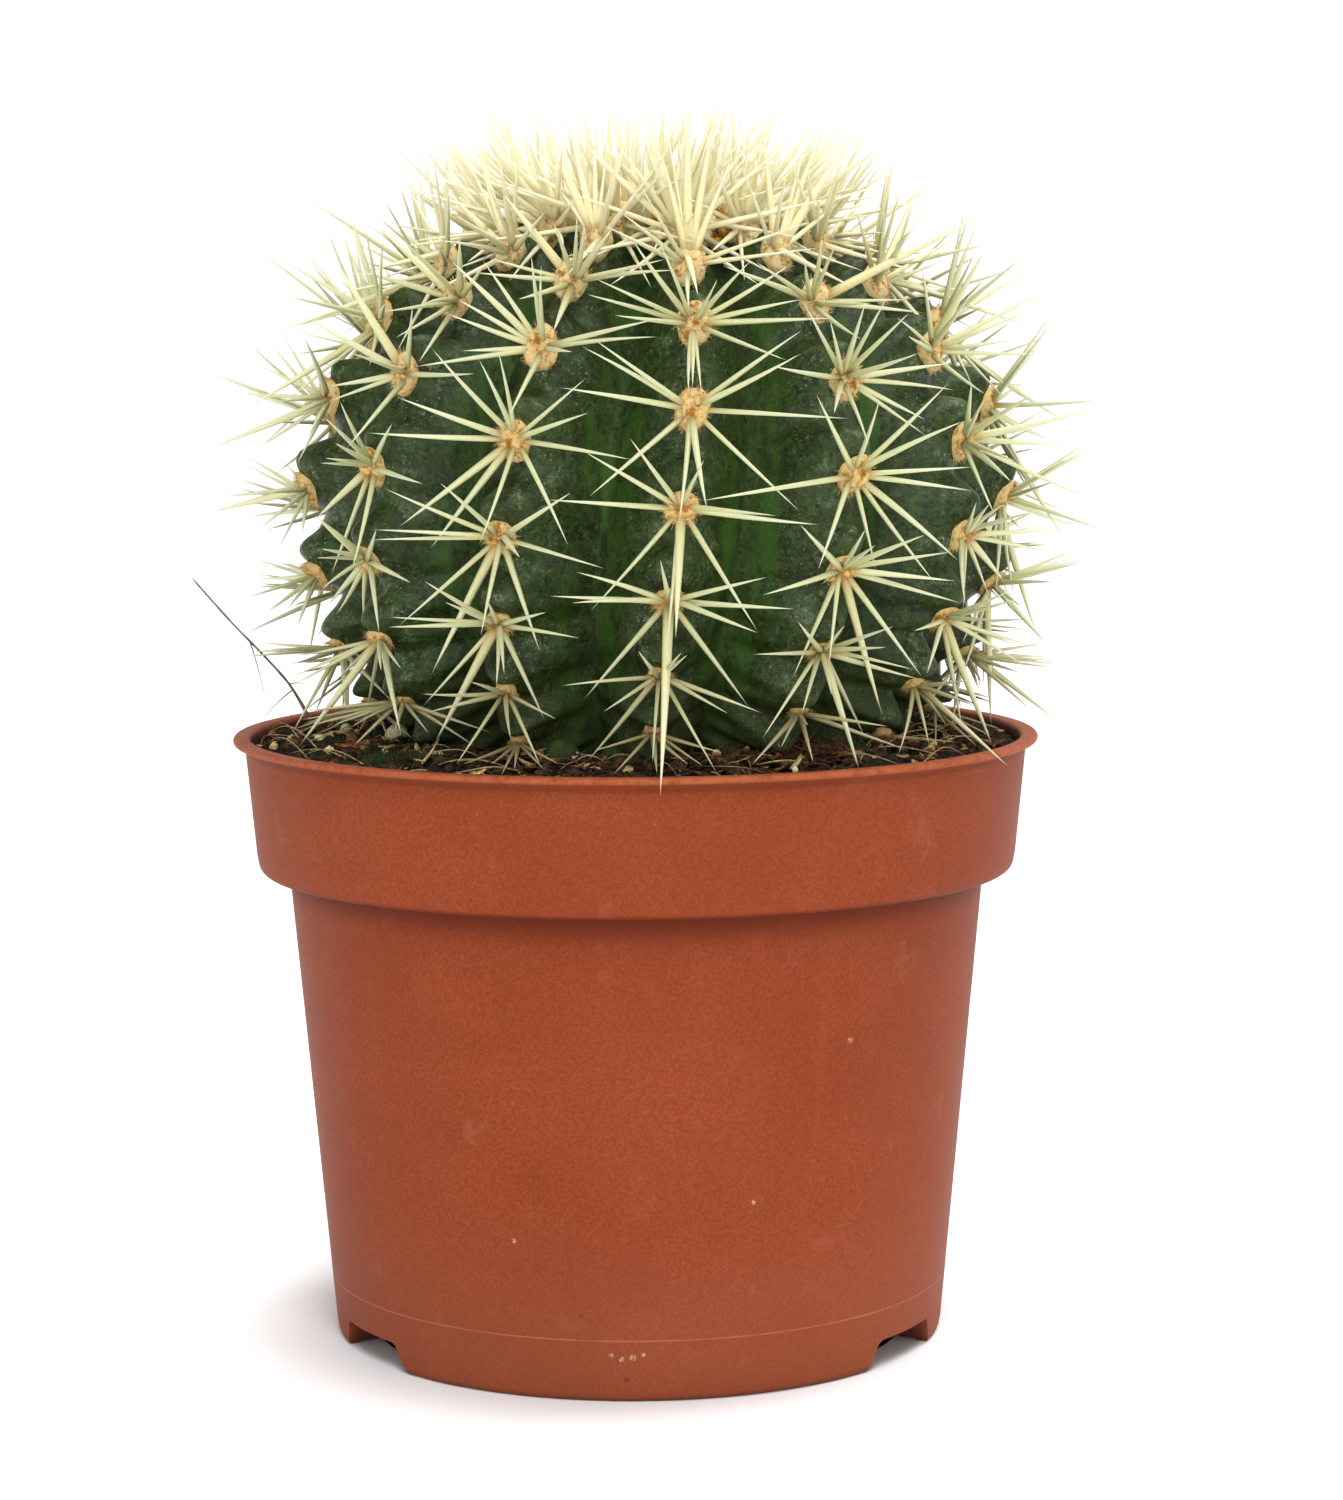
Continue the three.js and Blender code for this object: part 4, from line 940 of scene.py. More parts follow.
# Spines measured on the front of the plant, in picture pixels: the areole's middle, then each tip and,
# where a spine is stronger than the rest, its girth
FRONT_SPINES = (
    (
        (692, 322),
        ((592, 277), (584, 293), (612, 314), (630, 238), (655, 236), (715, 278), (748, 260)),
        ((790, 262), (800, 298), (832, 317), (784, 359), (686, 391), (699, 391), (690, 386)),
    ),
    (
        (687, 406),
        ((588, 335), (577, 343), (555, 384), (583, 494), (674, 520), (702, 505, 1.1), (795, 508)),
        ((845, 415), (796, 350), (798, 326)),
    ),
    (
        (683, 507),
        ((631, 436), (586, 450), (547, 498), (592, 609), (668, 650), (677, 637, 1.35), (760, 631)),
        ((778, 514), (820, 523), (707, 455)),
    ),
    (
        (669, 605),
        ((660, 564), (576, 576), (549, 600), (571, 607), (583, 704), (660, 800, 1.45), (750, 713)),
        ((795, 613), (758, 637), (767, 581)),
    ),
    (
        (658, 675),
        ((637, 650), (680, 652), (686, 654), (560, 685), (602, 711), (583, 764), (651, 762)),
        ((717, 775), (727, 713), (760, 712)),
    ),
    ((645, 733), ((586, 753), (606, 776), (649, 776, 1.1), (714, 755), (695, 768), (680, 766))),
    (
        (541, 350),
        ((450, 262, 1.1), (455, 300), (445, 315), (461, 353), (414, 369), (482, 262), (531, 258)),
        ((541, 267), (657, 321), (657, 339), (572, 354), (508, 420)),
    ),
    (
        (512, 443),
        ((430, 352), (477, 363), (496, 354), (583, 382), (586, 416), (630, 463), (566, 549)),
        ((477, 548), (428, 552, 1.1), (397, 530, 1.1), (364, 436), (394, 400)),
    ),
    (
        (500, 540),
        ((440, 485), (385, 491), (373, 532), (370, 542), (399, 628), (431, 678, 1.3), (481, 638)),
        ((540, 654), (605, 571), (520, 560), (571, 495)),
    ),
    (
        (499, 626),
        ((425, 583), (446, 604), (390, 619), (388, 629), (423, 709), (434, 748, 1.35), (497, 688)),
        ((505, 676), (547, 725), (580, 640), (547, 614), (487, 600)),
    ),
    ((505, 695), ((470, 685), (421, 697), (428, 715), (455, 768), (510, 742), (540, 770), (555, 722))),
    ((512, 742), ((470, 747), (457, 765), (495, 776), (508, 770), (485, 765), (552, 765), (537, 770))),
    (
        (571, 280),
        ((665, 259), (674, 270), (488, 258), (472, 272), (518, 299), (500, 190, 1.3), (553, 222)),
        ((577, 215), (584, 222), (612, 228, 1.2), (553, 332, 1.2)),
    ),
    (
        (807, 300),
        ((862, 302), (900, 298), (915, 311), (975, 213, 1.4), (813, 235), (828, 240), (748, 261)),
        ((714, 264), (796, 255), (853, 338)),
    ),
    (
        (839, 377),
        ((765, 364), (798, 303), (823, 318), (858, 302), (880, 295), (902, 311), (912, 351)),
        ((945, 361), (948, 388), (919, 418), (918, 433), (862, 445), (827, 412)),
    ),
    (
        (856, 474),
        ((818, 394), (881, 398), (950, 382), (965, 420), (975, 466), (975, 490), (960, 560, 1.1)),
        ((937, 583), (877, 569), (819, 570), (702, 500)),
    ),
    (
        (847, 567),
        ((805, 522), (870, 526), (880, 542), (929, 532), (955, 549), (960, 578), (965, 600)),
        ((927, 675), (887, 714, 1.25), (833, 664), (796, 677), (767, 592)),
    ),
    (
        (824, 652),
        ((800, 623), (847, 627), (896, 628), (888, 649), (915, 671), (922, 681), (868, 741)),
        ((863, 777, 1.25), (834, 697), (804, 716), (764, 741), (756, 656)),
    ),
    (
        (791, 721),
        ((748, 729), (841, 712), (880, 736), (900, 760), (743, 775)),
        ((805, 772), (800, 735), (773, 757)),
    ),
    (
        (958, 433),
        ((965, 375), (978, 391), (1030, 385, 1.1), (1095, 400, 1.1), (1042, 420), (1058, 439)),
        ((1010, 455), (1005, 475, 1.1), (989, 510), (983, 499), (1089, 494)),
    ),
    (
        (964, 533),
        ((976, 501), (989, 503), (1004, 503), (1037, 510), (1058, 529), (1048, 550), (1004, 581, 1.2)),
        ((963, 611), (989, 596), (965, 604)),
    ),
    (
        (944, 619),
        ((914, 632), (1011, 592), (1019, 600), (1004, 622), (1019, 647), (1037, 648), (995, 753, 1.25)),
        ((927, 675), (963, 734), (1026, 667)),
    ),
    (
        (910, 693),
        ((894, 764), (903, 745), (1004, 775, 1.15), (945, 738), (966, 689), (974, 716), (925, 753)),
    ),
    (
        (917, 345),
        ((972, 240, 1.3), (906, 258), (957, 286), (1040, 281), (1025, 300), (997, 334), (1030, 348)),
        ((970, 388), (882, 312), (893, 330)),
    ),
    (
        (452, 297),
        ((375, 225, 1.3), (395, 235), (379, 310), (419, 302), (391, 336), (414, 361)),
        ((350, 268, 1.1), (455, 235, 1.1), (480, 262)),
    ),
    (
        (399, 378),
        ((328, 262, 1.35), (300, 322, 1.1), (345, 357), (321, 391), (322, 406)),
        ((341, 453), (469, 378), (407, 311)),
    ),
    (
        (370, 473),
        ((338, 407), (322, 423), (333, 449), (323, 464), (318, 469), (312, 527, 1.25), (421, 490)),
        ((329, 582), (350, 577), (390, 430)),
    ),
    (
        (369, 567),
        ((316, 522, 1.2), (323, 556), (318, 565), (324, 596), (330, 612, 1.1), (338, 622), (366, 637)),
        ((381, 640), (413, 590), (378, 537)),
    ),
    (
        (380, 643),
        ((297, 753, 1.3), (290, 682), (292, 690), (300, 660), (401, 673), (381, 675)),
        ((332, 689), (401, 740, 1.1), (365, 725)),
    ),
    ((413, 705), ((398, 738), (355, 719), (364, 728), (437, 747), (342, 730), (318, 704))),
    (
        (322, 405),
        ((296, 342, 1.1), (252, 372), (268, 408), (285, 422), (203, 455, 1.2), (250, 455), (240, 440)),
        ((290, 470), (300, 445), (235, 400)),
    ),
    (
        (306, 505),
        ((220, 512), (262, 453), (265, 508), (210, 527, 1.2), (256, 545)),
        ((275, 530), (282, 552), (300, 550)),
    ),
    ((320, 587), ((250, 609), (286, 560), (283, 573), (262, 590), (268, 625), (290, 622), (300, 640))),
    (
        (690, 260),
        ((691, 91, 1.6), (812, 217), (822, 243), (604, 220), (622, 208), (661, 146, 1.2)),
        ((716, 106, 1.35), (690, 303), (731, 158, 1.2), (668, 126), (640, 178)),
    ),
    (
        (770, 255),
        ((854, 124, 1.55), (812, 140, 1.2), (797, 152), (756, 128, 1.2)),
        ((735, 168), (832, 205), (780, 175)),
    ),
    ((829, 245), ((856, 152), (851, 180, 1.2), (800, 158), (831, 186), (884, 190), (818, 170, 1.1))),
    (
        (872, 284),
        ((915, 184, 1.25), (897, 187), (925, 200), (960, 232), (935, 262)),
        ((905, 232, 1.1), (850, 205), (880, 210)),
    ),
    (
        (512, 251),
        ((477, 129, 1.3), (437, 180, 1.2), (457, 214), (503, 163, 1.1), (521, 142), (547, 212)),
        ((445, 240), (465, 150), (488, 175)),
    ),
    (
        (598, 242),
        ((535, 103, 1.5), (572, 130, 1.1), (597, 118), (580, 152, 1.2), (633, 122, 1.35), (655, 172)),
        ((622, 150), (560, 190), (610, 140)),
    ),
)


def spine_stances(areole):
    """Turn from straight up, raise off the skin, length and girth of each spine of an areole."""
    index = areole["index"]
    age = float(smoothstep(-4, 3, index))
    top = float(smoothstep(2.6, 4.8, index))
    full = SPINE_LENGTH * (0.76 + 0.24 * age)
    missing = 0.08 + 0.14 * float(1 - smoothstep(-4.2, -1.2, index))
    stances = []
    for turn in RADIAL_TURNS:
        up_share = (1 + math.cos(math.radians(turn))) / 2
        if rng.random() < missing + 0.25 * top * (1 - up_share):
            continue
        raise_by = 12 + 12 * math.cos(math.radians(turn)) ** 2 + rng.normal(0, 3.5)
        raise_by += top * (15 + 26 * up_share)
        length = full * (1.0 - 0.2 * up_share**3 - 0.2 * (1 - up_share) ** 4) * rng.uniform(0.84, 1.08)
        girth = rng.uniform(0.66, 0.92) + 0.3 * top * up_share
        stances.append((turn + rng.normal(0, 6), raise_by, length, girth))
    stances.append((180 + rng.normal(0, 9), 42 + rng.normal(0, 6), full * rng.uniform(1.05, 1.25), 1.2))
    for side in (-1, 1):
        if rng.random() < 0.45 + 0.4 * age:
            turn = side * rng.uniform(15, 100)
            raise_by, length = 48 + rng.normal(0, 8), full * rng.uniform(0.85, 1.1)
            stances.append((turn, raise_by, length, rng.uniform(0.8, 1.1)))
    return stances


def within_box(start, direction, length):
    """The length that stays inside the frame's own plant, less a hair for the spine's thickness."""
    for axis in range(3):
        step = direction[axis]
        if abs(step) < 1e-6:
            continue
        limit = (BOX_HIGH if step > 0 else BOX_LOW)[axis] - 0.25 * np.sign(step)
        if axis == 2 and step < 0:
            continue
        length = min(length, (limit - start[axis]) / step)
    return length


def add_spine(batch, start, direction, length, radius, bend, tone):
    """Adds a tapered spine, slightly bowed to a side, that ends inside the plant's box."""
    length = within_box(start, direction, length)
    shares = np.linspace(0, 1, SPINE_STEPS)
    sideways = unit(np.cross(direction, rng.normal(size=3)))
    bow = np.outer(bend * length * (shares**2 - shares), sideways)
    path = start + np.outer(shares * length, direction) + bow
    radii = radius * (1 - shares**1.8)
    radii[-1] = 0
    points, faces, along = tube(path, radii, SPINE_SIDES, rng.uniform(0, 1))
    batch.add(points, faces, along=along, **tone)


def above_skin(point):
    """How far a point is outside the skin."""
    place, normal, _, _ = SKIN.find_nearest(point)
    return (Vector(point) - place).dot(normal)


def along_skin(areole, turn):
    """The direction along the skin, turned in degrees from straight up the rib."""
    return math.cos(math.radians(turn)) * areole["up"] + math.sin(math.radians(turn)) * areole["side"]


def stance_direction(areole, turn, raise_by):
    """The direction of a spine turned from straight up and raised off the skin, in degrees."""
    raised = math.radians(raise_by)
    return math.cos(raised) * along_skin(areole, turn) + math.sin(raised) * areole["out"]


def is_clear(start, span, over_ground, over_skin):
    """Whether a spine that spans so far keeps these distances from the ground and the skin."""
    spots = [start + span * part for part in TEST_SHARES]
    return all(spot[2] > ground(spot) + over_ground and above_skin(spot) > over_skin for spot in spots)


def clear_stance(areole, start, turn, raise_by, length):
    """A spine's direction and length, raised and shortened until it clears the skin, soil and rim."""
    for extra, share in CLEAR_TRIES:
        direction = stance_direction(areole, turn, raise_by + extra)
        span = direction * within_box(start, direction, length * share)
        if is_clear(start, span, 0.8, 0.9):
            return direction, length * share
    return None, 0


def match_measured(areoles):
    """Gives the measured tips, as pixel offsets with their girths, to the areoles they belong to."""
    for middle, *rows in FRONT_SPINES:

        def away(areole):
            facing = float(areole["out"] @ unit(np.array(CAMERA_AT) - areole["at"]))
            return math.dist(in_picture(areole["at"])[0], middle) - 15 * facing

        nearest = min(areoles, key=away)
        if math.dist(in_picture(nearest["at"])[0], middle) < SAME_AREOLE:
            nearest["tips"] = [
                ((x - middle[0], y - middle[1]), girth[0] if girth else None)
                for row in rows
                for x, y, *girth in row
            ]


def grown_spines(areole):
    """Start, direction, length and girth of the spines of an areole that wasn't measured."""
    for turn, raise_by, length, girth in spine_stances(areole):
        apart = 0.62 if raise_by < 40 else 0.4
        start = areole["at"] + areole["out"] * 0.55 + along_skin(areole, turn) * areole["size"] * apart
        direction, length = clear_stance(areole, start, turn, raise_by, length)
        if direction is not None:
            yield start, direction, length, girth


def measured_spines(areole, tips):
    """Start, direction, length and girth of measured spines, each at the most natural clear depth."""
    place, depth = in_picture(areole["at"])
    expected = SPINE_LENGTH * (0.74 + 0.24 * float(smoothstep(-4, 3, areole["index"])))
    for offset, girth in tips:
        best, found = math.inf, None
        for nearer in range(-16, 25):
            tip = from_picture(place + offset, depth - nearer)
            aim = unit(tip - areole["at"])
            rise = float(aim @ areole["out"])
            flat = aim - rise * areole["out"]
            start = areole["at"] + areole["out"] * 0.5 + flat * areole["size"] * 0.72
            direction, length = unit(tip - start), float(np.linalg.norm(tip - start))
            raised = math.degrees(math.asin(float(direction @ areole["out"])))
            reach = within_box(start, direction, length)
            if raised < 7 or reach < 0.88 * length:
                continue
            if not is_clear(start, direction * length, 0.5, 0.7):
                continue
            cost = 1.6 * abs(length / expected - 1) + abs(raised - 22) / 60
            if cost < best:
                best, found = cost, (start, direction, reach, girth or rng.uniform(0.68, 0.92))
        if found:
            yield found


def make_spines(areoles):
    batch = Batch()
    match_measured(areoles)
    for areole in areoles:
        old = float(1 - smoothstep(-3.6, -0.8, areole["index"]))
        young = 0.35 * float(smoothstep(1, 4.5, areole["index"]))
        tips = areole.get("tips")
        areole["bare"] = True
        spines = measured_spines(areole, tips) if tips else grown_spines(areole)
        for start, direction, length, girth in spines:
            areole["bare"] = False
            strong = girth > 1.15
            thick = SPINE_RADIUS * girth * (1 - (0.1 if strong else 0.22) * old)
            worn = old * (0.3 if strong else 1)
            gold = young + (0.2 if strong else 0)
            tone = {"old": worn, "gold": gold, "pale": float(smoothstep(2.4, 4.0, areole["index"]))}
            root, bend = start - direction * ROOT_DEPTH, rng.normal(0, 0.03)
            add_spine(batch, root, direction, length + ROOT_DEPTH, thick, bend, tone)
    material = spine_material("spine", (0.46, 0.28, 0.08), (0.545, 0.555, 0.29), (0.64, 0.66, 0.46))
    return belongs(batch.build("cactus_spines", material), "flesh", "cactus")


def cushion_grid(size, height, seed_point):
    """A low rounded cushion as rings in its own frame, lumpy as felt."""
    shares = np.linspace(0.02, 1, FELT_ROWS)[::-1]
    turns = 2 * np.pi * np.arange(FELT_COLUMNS) / FELT_COLUMNS
    flat = shares[:, None]
    x = size[0] * flat * np.cos(turns)
    y = size[1] * flat * np.sin(turns)
    z = height * np.sqrt(np.clip(1 - flat**2.4, 0, 1)) * np.ones_like(x)
    rings = np.stack([x, y, z], axis=-1)
    lumps = rough(rings + seed_point, 1.5, 3, 3) * 0.30
    rings[..., 2] += lumps * (0.3 + z / height)
    rings[..., :2] *= 1 + 0.10 * noise(rings + seed_point, 1.2, 8)[..., None]
    sunk = rings[:1].copy()
    sunk[..., 2] -= 2.6
    sunk[..., :2] *= 0.5
    return np.concatenate([sunk, rings])


def add_felt_hairs(hairs, areole, size, height, basis, worn):
    """Adds the short hairs that stand out of an areole's felt."""
    for _ in range(AREOLE_HAIRS):
        turn, reach = rng.uniform(0, 2 * np.pi), math.sqrt(rng.uniform(0.02, 1))
        spot = np.array([size[0] * reach * math.cos(turn), size[1] * reach * math.sin(turn)])
        start = np.array([*spot, height * math.sqrt(max(0, 1 - reach**2.4)) - 0.2])
        lean = unit(np.array([*(spot / size * 1.1), 0.8]) + rng.normal(0, 0.4, 3))
        path = np.array([start, start + lean * rng.uniform(0.6, 1.3)])
        points, faces, _ = tube(path, [FELT_HAIR_RADIUS, 0], 3)
        hairs.add(areole["at"] + points @ basis, faces, old=worn, heart=1 - reach)


def make_areoles(areoles):
    batch, hairs = Batch(), Batch()
    for areole in areoles:
        if areole["bare"]:
            continue
        age = float(smoothstep(-4, 3, areole["index"]))
        size = np.array([1.02 * areole["size"], (1.18 + 0.12 * age) * areole["size"]])
        height = 0.40 + 0.85 * age
        rings = cushion_grid(size, height, areole["at"])
        basis = np.array([areole["side"], areole["up"], areole["out"]])
        points, faces = ring_skin(rings)
        heart = 1 - smoothstep(0.1, 0.95, np.hypot(points[:, 0] / size[0], points[:, 1] / size[1]))
        worn = float(1 - smoothstep(-4.4, -1.2, areole["index"]))
        batch.add(areole["at"] + points @ basis, faces, old=worn, heart=heart)
        add_felt_hairs(hairs, areole, size, height, basis, worn)
    material = wool_material("areole_felt", (0.80, 0.57, 0.24), (0.62, 0.36, 0.10), (0.40, 0.17, 0.03))
    belongs(batch.build("areole_cushions", material), "flesh", "cactus")
    belongs(hairs.build("areole_hairs", material), "flesh", "cactus")


# The crown


def crown_height(distance):
    """Height of the crown's cushion at a distance from the plant's axis."""
    return CROWN_EDGE_Z + (CROWN_TOP_Z - CROWN_EDGE_Z) * (1 - (distance / CROWN_RADIUS) ** 2)


# Tufts on the crown's front edge: place in the picture, mm ahead of the camera, radius, and how orange
CROWN_TUFTS = (
    ((657, 219), 535.3, 1.0, 1.0),
    ((648, 229), 534, 0.7, 0.8),
    ((673, 215), 535.5, 0.8, 0.7),
    ((716, 244), 532.8, 0.8, 0.6),
    ((724, 231), 534.0, 0.7, 0.7),
    ((735, 238), 533.6, 0.65, 0.5),
    ((720, 213), 535.8, 0.7, 0.5),
    ((612, 226), 536.5, 0.7, 0.7),
    ((630, 238), 534.5, 1.5, 0.1),
    ((598, 236), 538, 1.3, 0.15),
    ((660, 243), 532.8, 1.6, 0.1),
    ((702, 236), 533.2, 1.5, 0.0),
    ((752, 243), 534, 1.6, 0.1),
    ((775, 240), 537, 1.4, 0.15),
    ((686, 222), 534.6, 1.3, 0.0),
)


def make_crown_wool(wool):
    columns, rows = 96, 26
    shares = np.linspace(1, 0.02, rows)
    azimuths = 360 * np.arange(columns) / columns
    rings = []
    for share in shares:
        ring = outward(azimuths) * share * CROWN_RADIUS
        ring[:, 2] = crown_height(share * CROWN_RADIUS)
        rings.append(ring)
    rings = np.array(rings)
    rings[..., 2] += 0.9 * rough(rings, 4.5, 3, 31) + 0.3 * noise(rings, 1.1, 35)
    skirt = rings[:1].copy()
    skirt[..., 2] = CROWN_EDGE_Z - 5
    rings = np.concatenate([skirt, rings]) + [PLANT_X, 0, 0]
    points, faces = ring_skin(rings)
    plain = np.zeros(len(points))
    cushion = add_object("crown_wool", points, faces, wool, attributes={"old": plain, "heart": plain})
    belongs(cushion, "wool", "crown")


def make_crown_tufts(wool):
    tufts = Batch()
    points, faces = ball(3)
    for pixel, ahead, size, orange in CROWN_TUFTS:
        place = from_picture(pixel, ahead)
        lumpy = points * (1 + 0.3 * rough(points + place, 0.8, 3, 37)[:, None]) * [size, size, 1.15 * size]
        tufts.add(lumpy + place, faces, old=0.0, heart=3.2 * orange)
    belongs(tufts.build("crown_tufts", wool), "wool", "crown")


def make_crown_hairs(wool):
    hairs = Batch()
    for pixel, ahead, size, orange in CROWN_TUFTS:
        for _ in range(TUFT_HAIRS):
            lean = unit(rng.normal(size=3) + [0, -0.4, 0.5])
            start = from_picture(pixel, ahead) + lean * size * 0.9
            path = np.array([start, start + lean * rng.uniform(0.5, 1.3)])
            hairs.add_tube(path, [TUFT_HAIR_RADIUS, 0], 3, old=0.0, heart=3.2 * orange)
    for _ in range(CROWN_HAIRS):
        distance = CROWN_RADIUS * math.sqrt(rng.random())
        azimuth = rng.uniform(0, 360)
        start = outward(azimuth) * distance + [PLANT_X, 0, crown_height(distance) - 0.3]
        away = outward(azimuth) * 0.4 * distance / CROWN_RADIUS
        lean = unit(np.array([0, 0, 1.0]) + away + rng.normal(0, 0.45, 3))
        path = np.array([start, start + lean * rng.uniform(1.2, 2.8)])
        hairs.add_tube(path, [CROWN_HAIR_RADIUS, 0], 3, old=0.0, heart=0.0)
    belongs(hairs.build("crown_hairs", wool), "wool", "crown")


def make_crown_spines():
    batch = Batch()
    for n in range(CROWN_CLUSTERS):
        azimuth = n * GOLDEN_ANGLE
        distance = (CROWN_RADIUS + 1.0) * math.sqrt((n + 0.5) / CROWN_CLUSTERS)
        outer = distance / CROWN_RADIUS
        start = outward(azimuth) * distance + [PLANT_X, 0, crown_height(distance) - 1.0]
        lean = math.radians(4 + 30 * outer**1.5)
        middle = math.sin(lean) * outward(azimuth) + np.array([0, 0, math.cos(lean)])
        for _ in range(SPINES_IN_CLUSTER):
            spread = rng.normal(0, 0.30, 3)
            direction = unit(middle + spread)
            root = start + np.array([*rng.normal(0, 0.9, 2), 0])
            length = (9 + 13 * rng.random() ** 1.3) * (0.95 + 0.15 * outer)
            gold = 0.7 * rng.random() ** 1.9
            tone = {"old": 0.0, "gold": gold, "pale": 1.0}
            girth, bend = rng.uniform(0.42, 0.70) + 0.3 * gold, rng.normal(0, 0.05)
            add_spine(batch, root, direction, length, girth, bend, tone)
    material = spine_material("young_spine", (0.85, 0.42, 0.05), YOUNG_SPINE, YOUNG_TIP, 0.4)
    return belongs(batch.build("crown_spines", material), "wool", "crown")


def make_crown():
    wool = wool_material("crown_wool", (0.93, 0.84, 0.55), (0.86, 0.66, 0.28), (0.84, 0.45, 0.08))
    make_crown_wool(wool)
    make_crown_tufts(wool)
    make_crown_hairs(wool)
    make_crown_spines()


# Soil and what lies on it


def grain_nodes(prefix):
    return sorted(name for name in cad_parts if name.startswith(prefix))


def make_soil():
    azimuths = 360 * np.arange(SOIL_COLUMNS) / SOIL_COLUMNS
    edge = RIM_INSIDE - 0.65
    radii = np.linspace(edge, 24, SOIL_ROWS)
    rings = np.array([outward(azimuths) * r for r in radii])
    height = soil_height(rings[..., 0], rings[..., 1])
    keep = np.ones_like(height)
    for name in grain_nodes("perlite_grain") + grain_nodes("bark_chip"):
        low, high = (np.array(corner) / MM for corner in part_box(name))
        middle, half = (low + high) / 2, max(high[0] - low[0], high[1] - low[1]) / 2
        away = np.hypot(rings[..., 0] - middle[0], rings[..., 1] - middle[1])
        keep *= smoothstep(half * 0.9, half + 2.5, away)
    bumps = 1.0 * rough(rings, 6, 4, 41) + 0.5 * rough(rings, 1.6, 2, 47)
    rings[..., 2] = height + bumps * keep - 0.35 * (1 - keep)
    levels = (
        (FOOT_RADIUS - WALL - 0.6, RECESS + FLOOR + 3.2),
        (BODY_TOP_RADIUS - WALL - 0.4, COLLAR_Z + WALL + 0.4),
        (COLLAR_BOTTOM_RADIUS - WALL - 0.4, COLLAR_Z + WALL + 0.4),
    )
    walls = np.array([outward(azimuths) * r + [0, 0, z] for r, z in levels])
    rings = np.concatenate([walls, rings])
    points, faces = ring_skin(rings)
    moss = moss_share(points[:, 0], points[:, 1])
    material = soil_material("peat", (0.004, 0.0025, 0.0018), (0.030, 0.017, 0.009), 0.8)
    soil = add_object("soil_bed", points, faces, material, True, {"moss": moss})
    return belongs(soil, "soil", "soil")


# Patches of moss: place and size
MOSS_PATCHES = ((-38, -14, 13), (-33, -30, 9), (30, -28, 7), (-20, 44, 12), (38, 26, 9))


def moss_share(x, y):
    """From 0 to 1 how mossy the soil is at a place."""
    share = np.zeros(np.shape(x))
    for mx, my, size in MOSS_PATCHES:
        share = np.maximum(share, 1 - smoothstep(0.5, 1.1, np.hypot(x - mx, y - my) / size))
    return share


def on_soil(x, y):
    """The point of the soil at a place."""
    return np.array([x, y, float(soil_height(x, y))])


def soil_spots(count, inner=31):
    """Random places on the open soil, round the plant's foot."""
    spots = []
    while len(spots) < count:
        r = math.sqrt(rng.uniform(inner**2, (RIM_INSIDE - 1.6) ** 2))
        spot = outward(rng.uniform(0, 360)) * r
        spots.append(on_soil(spot[0], spot[1]))
    return spots


def make_crumbs():
    small, large = ball(1), ball(2)
    batch = Batch()
    for spot in soil_spots(CRUMBS):
        size = 0.28 + 1.1 * rng.random() ** 4
        points, faces = large if size > 0.9 else small
        scale = size * rng.uniform(0.6, 1.1, 3)
        lumpy = points * (1 + 0.28 * noise(points + spot, 0.8, 51)[:, None])
        moss = float(moss_share(spot[0], spot[1]))
        batch.add(lumpy * scale + spot + [0, 0, 0.25 * size], faces, moss=moss)
    material = soil_material("crumbs", (0.006, 0.0035, 0.002), (0.085, 0.045, 0.021), 0.5)
    return belongs(batch.build("soil_crumbs", material), "soil", "soil")


# Kinds of flakes: name, dark and light colour, and how many
FLAKE_KINDS = (
    ("rust_flake", (0.035, 0.012, 0.004), (0.42, 0.16, 0.04), 300),
    ("tan_flake", (0.16, 0.08, 0.03), (0.84, 0.62, 0.26), 250),
)

# The larger chips at the front: place and size
PLACED_FLAKES = {
    "rust_flake": ((-38.2, -18.6, 1.5), (-33.0, -29.0, 1.2), (20.5, -38.0, 1.4), (-5.0, -43.0, 1.0)),
    "tan_flake": (
        *((-36.4, -17.2, 1.6), (-46.5, -7.0, 1.2), (-45.0, -11.0, 1.3), (23.0, -36.5, 1.3)),
        *((31.0, -35.0, 1.1), (38.0, -30.0, 1.2), (42.5, -23.5, 1.1), (35.5, -25.5, 1.0)),
        (46.0, -11.0, 1.1),
    ),
}


def make_flakes():
    """Thin chips of bark and peat that lie tilted on the soil."""
    points, faces = ball(2)
    for name, dark, light, count in FLAKE_KINDS:
        batch = Batch()
        placed = [(on_soil(x, y), size) for x, y, size in PLACED_FLAKES[name]]
        placed += [(spot, 0.35 + 1.3 * rng.random() ** 2.5) for spot in soil_spots(count, 33)]
        for spot, size in placed:
            flat = [1, rng.uniform(0.35, 0.7), 0.22]
            lumpy = points * (1 + 0.35 * noise(points + spot, 0.9, 53)[:, None]) * flat
            turn, tilt = rng.uniform(0, 2 * np.pi), rng.normal(0, 0.35)
            lumpy = lumpy * size
            lumpy[:, 2] += lumpy[:, 0] * math.tan(tilt) + 0.25 * lumpy[:, 0] ** 2 / size
            c, d = math.cos(turn), math.sin(turn)
            lumpy = lumpy @ np.array([[c, d, 0], [-d, c, 0], [0, 0, 1]])
            batch.add(lumpy + spot + [0, 0, 0.45 + 0.3 * size], faces)
        belongs(batch.build(name + "s", fibre_material(name, dark, light)), "soil", "soil")


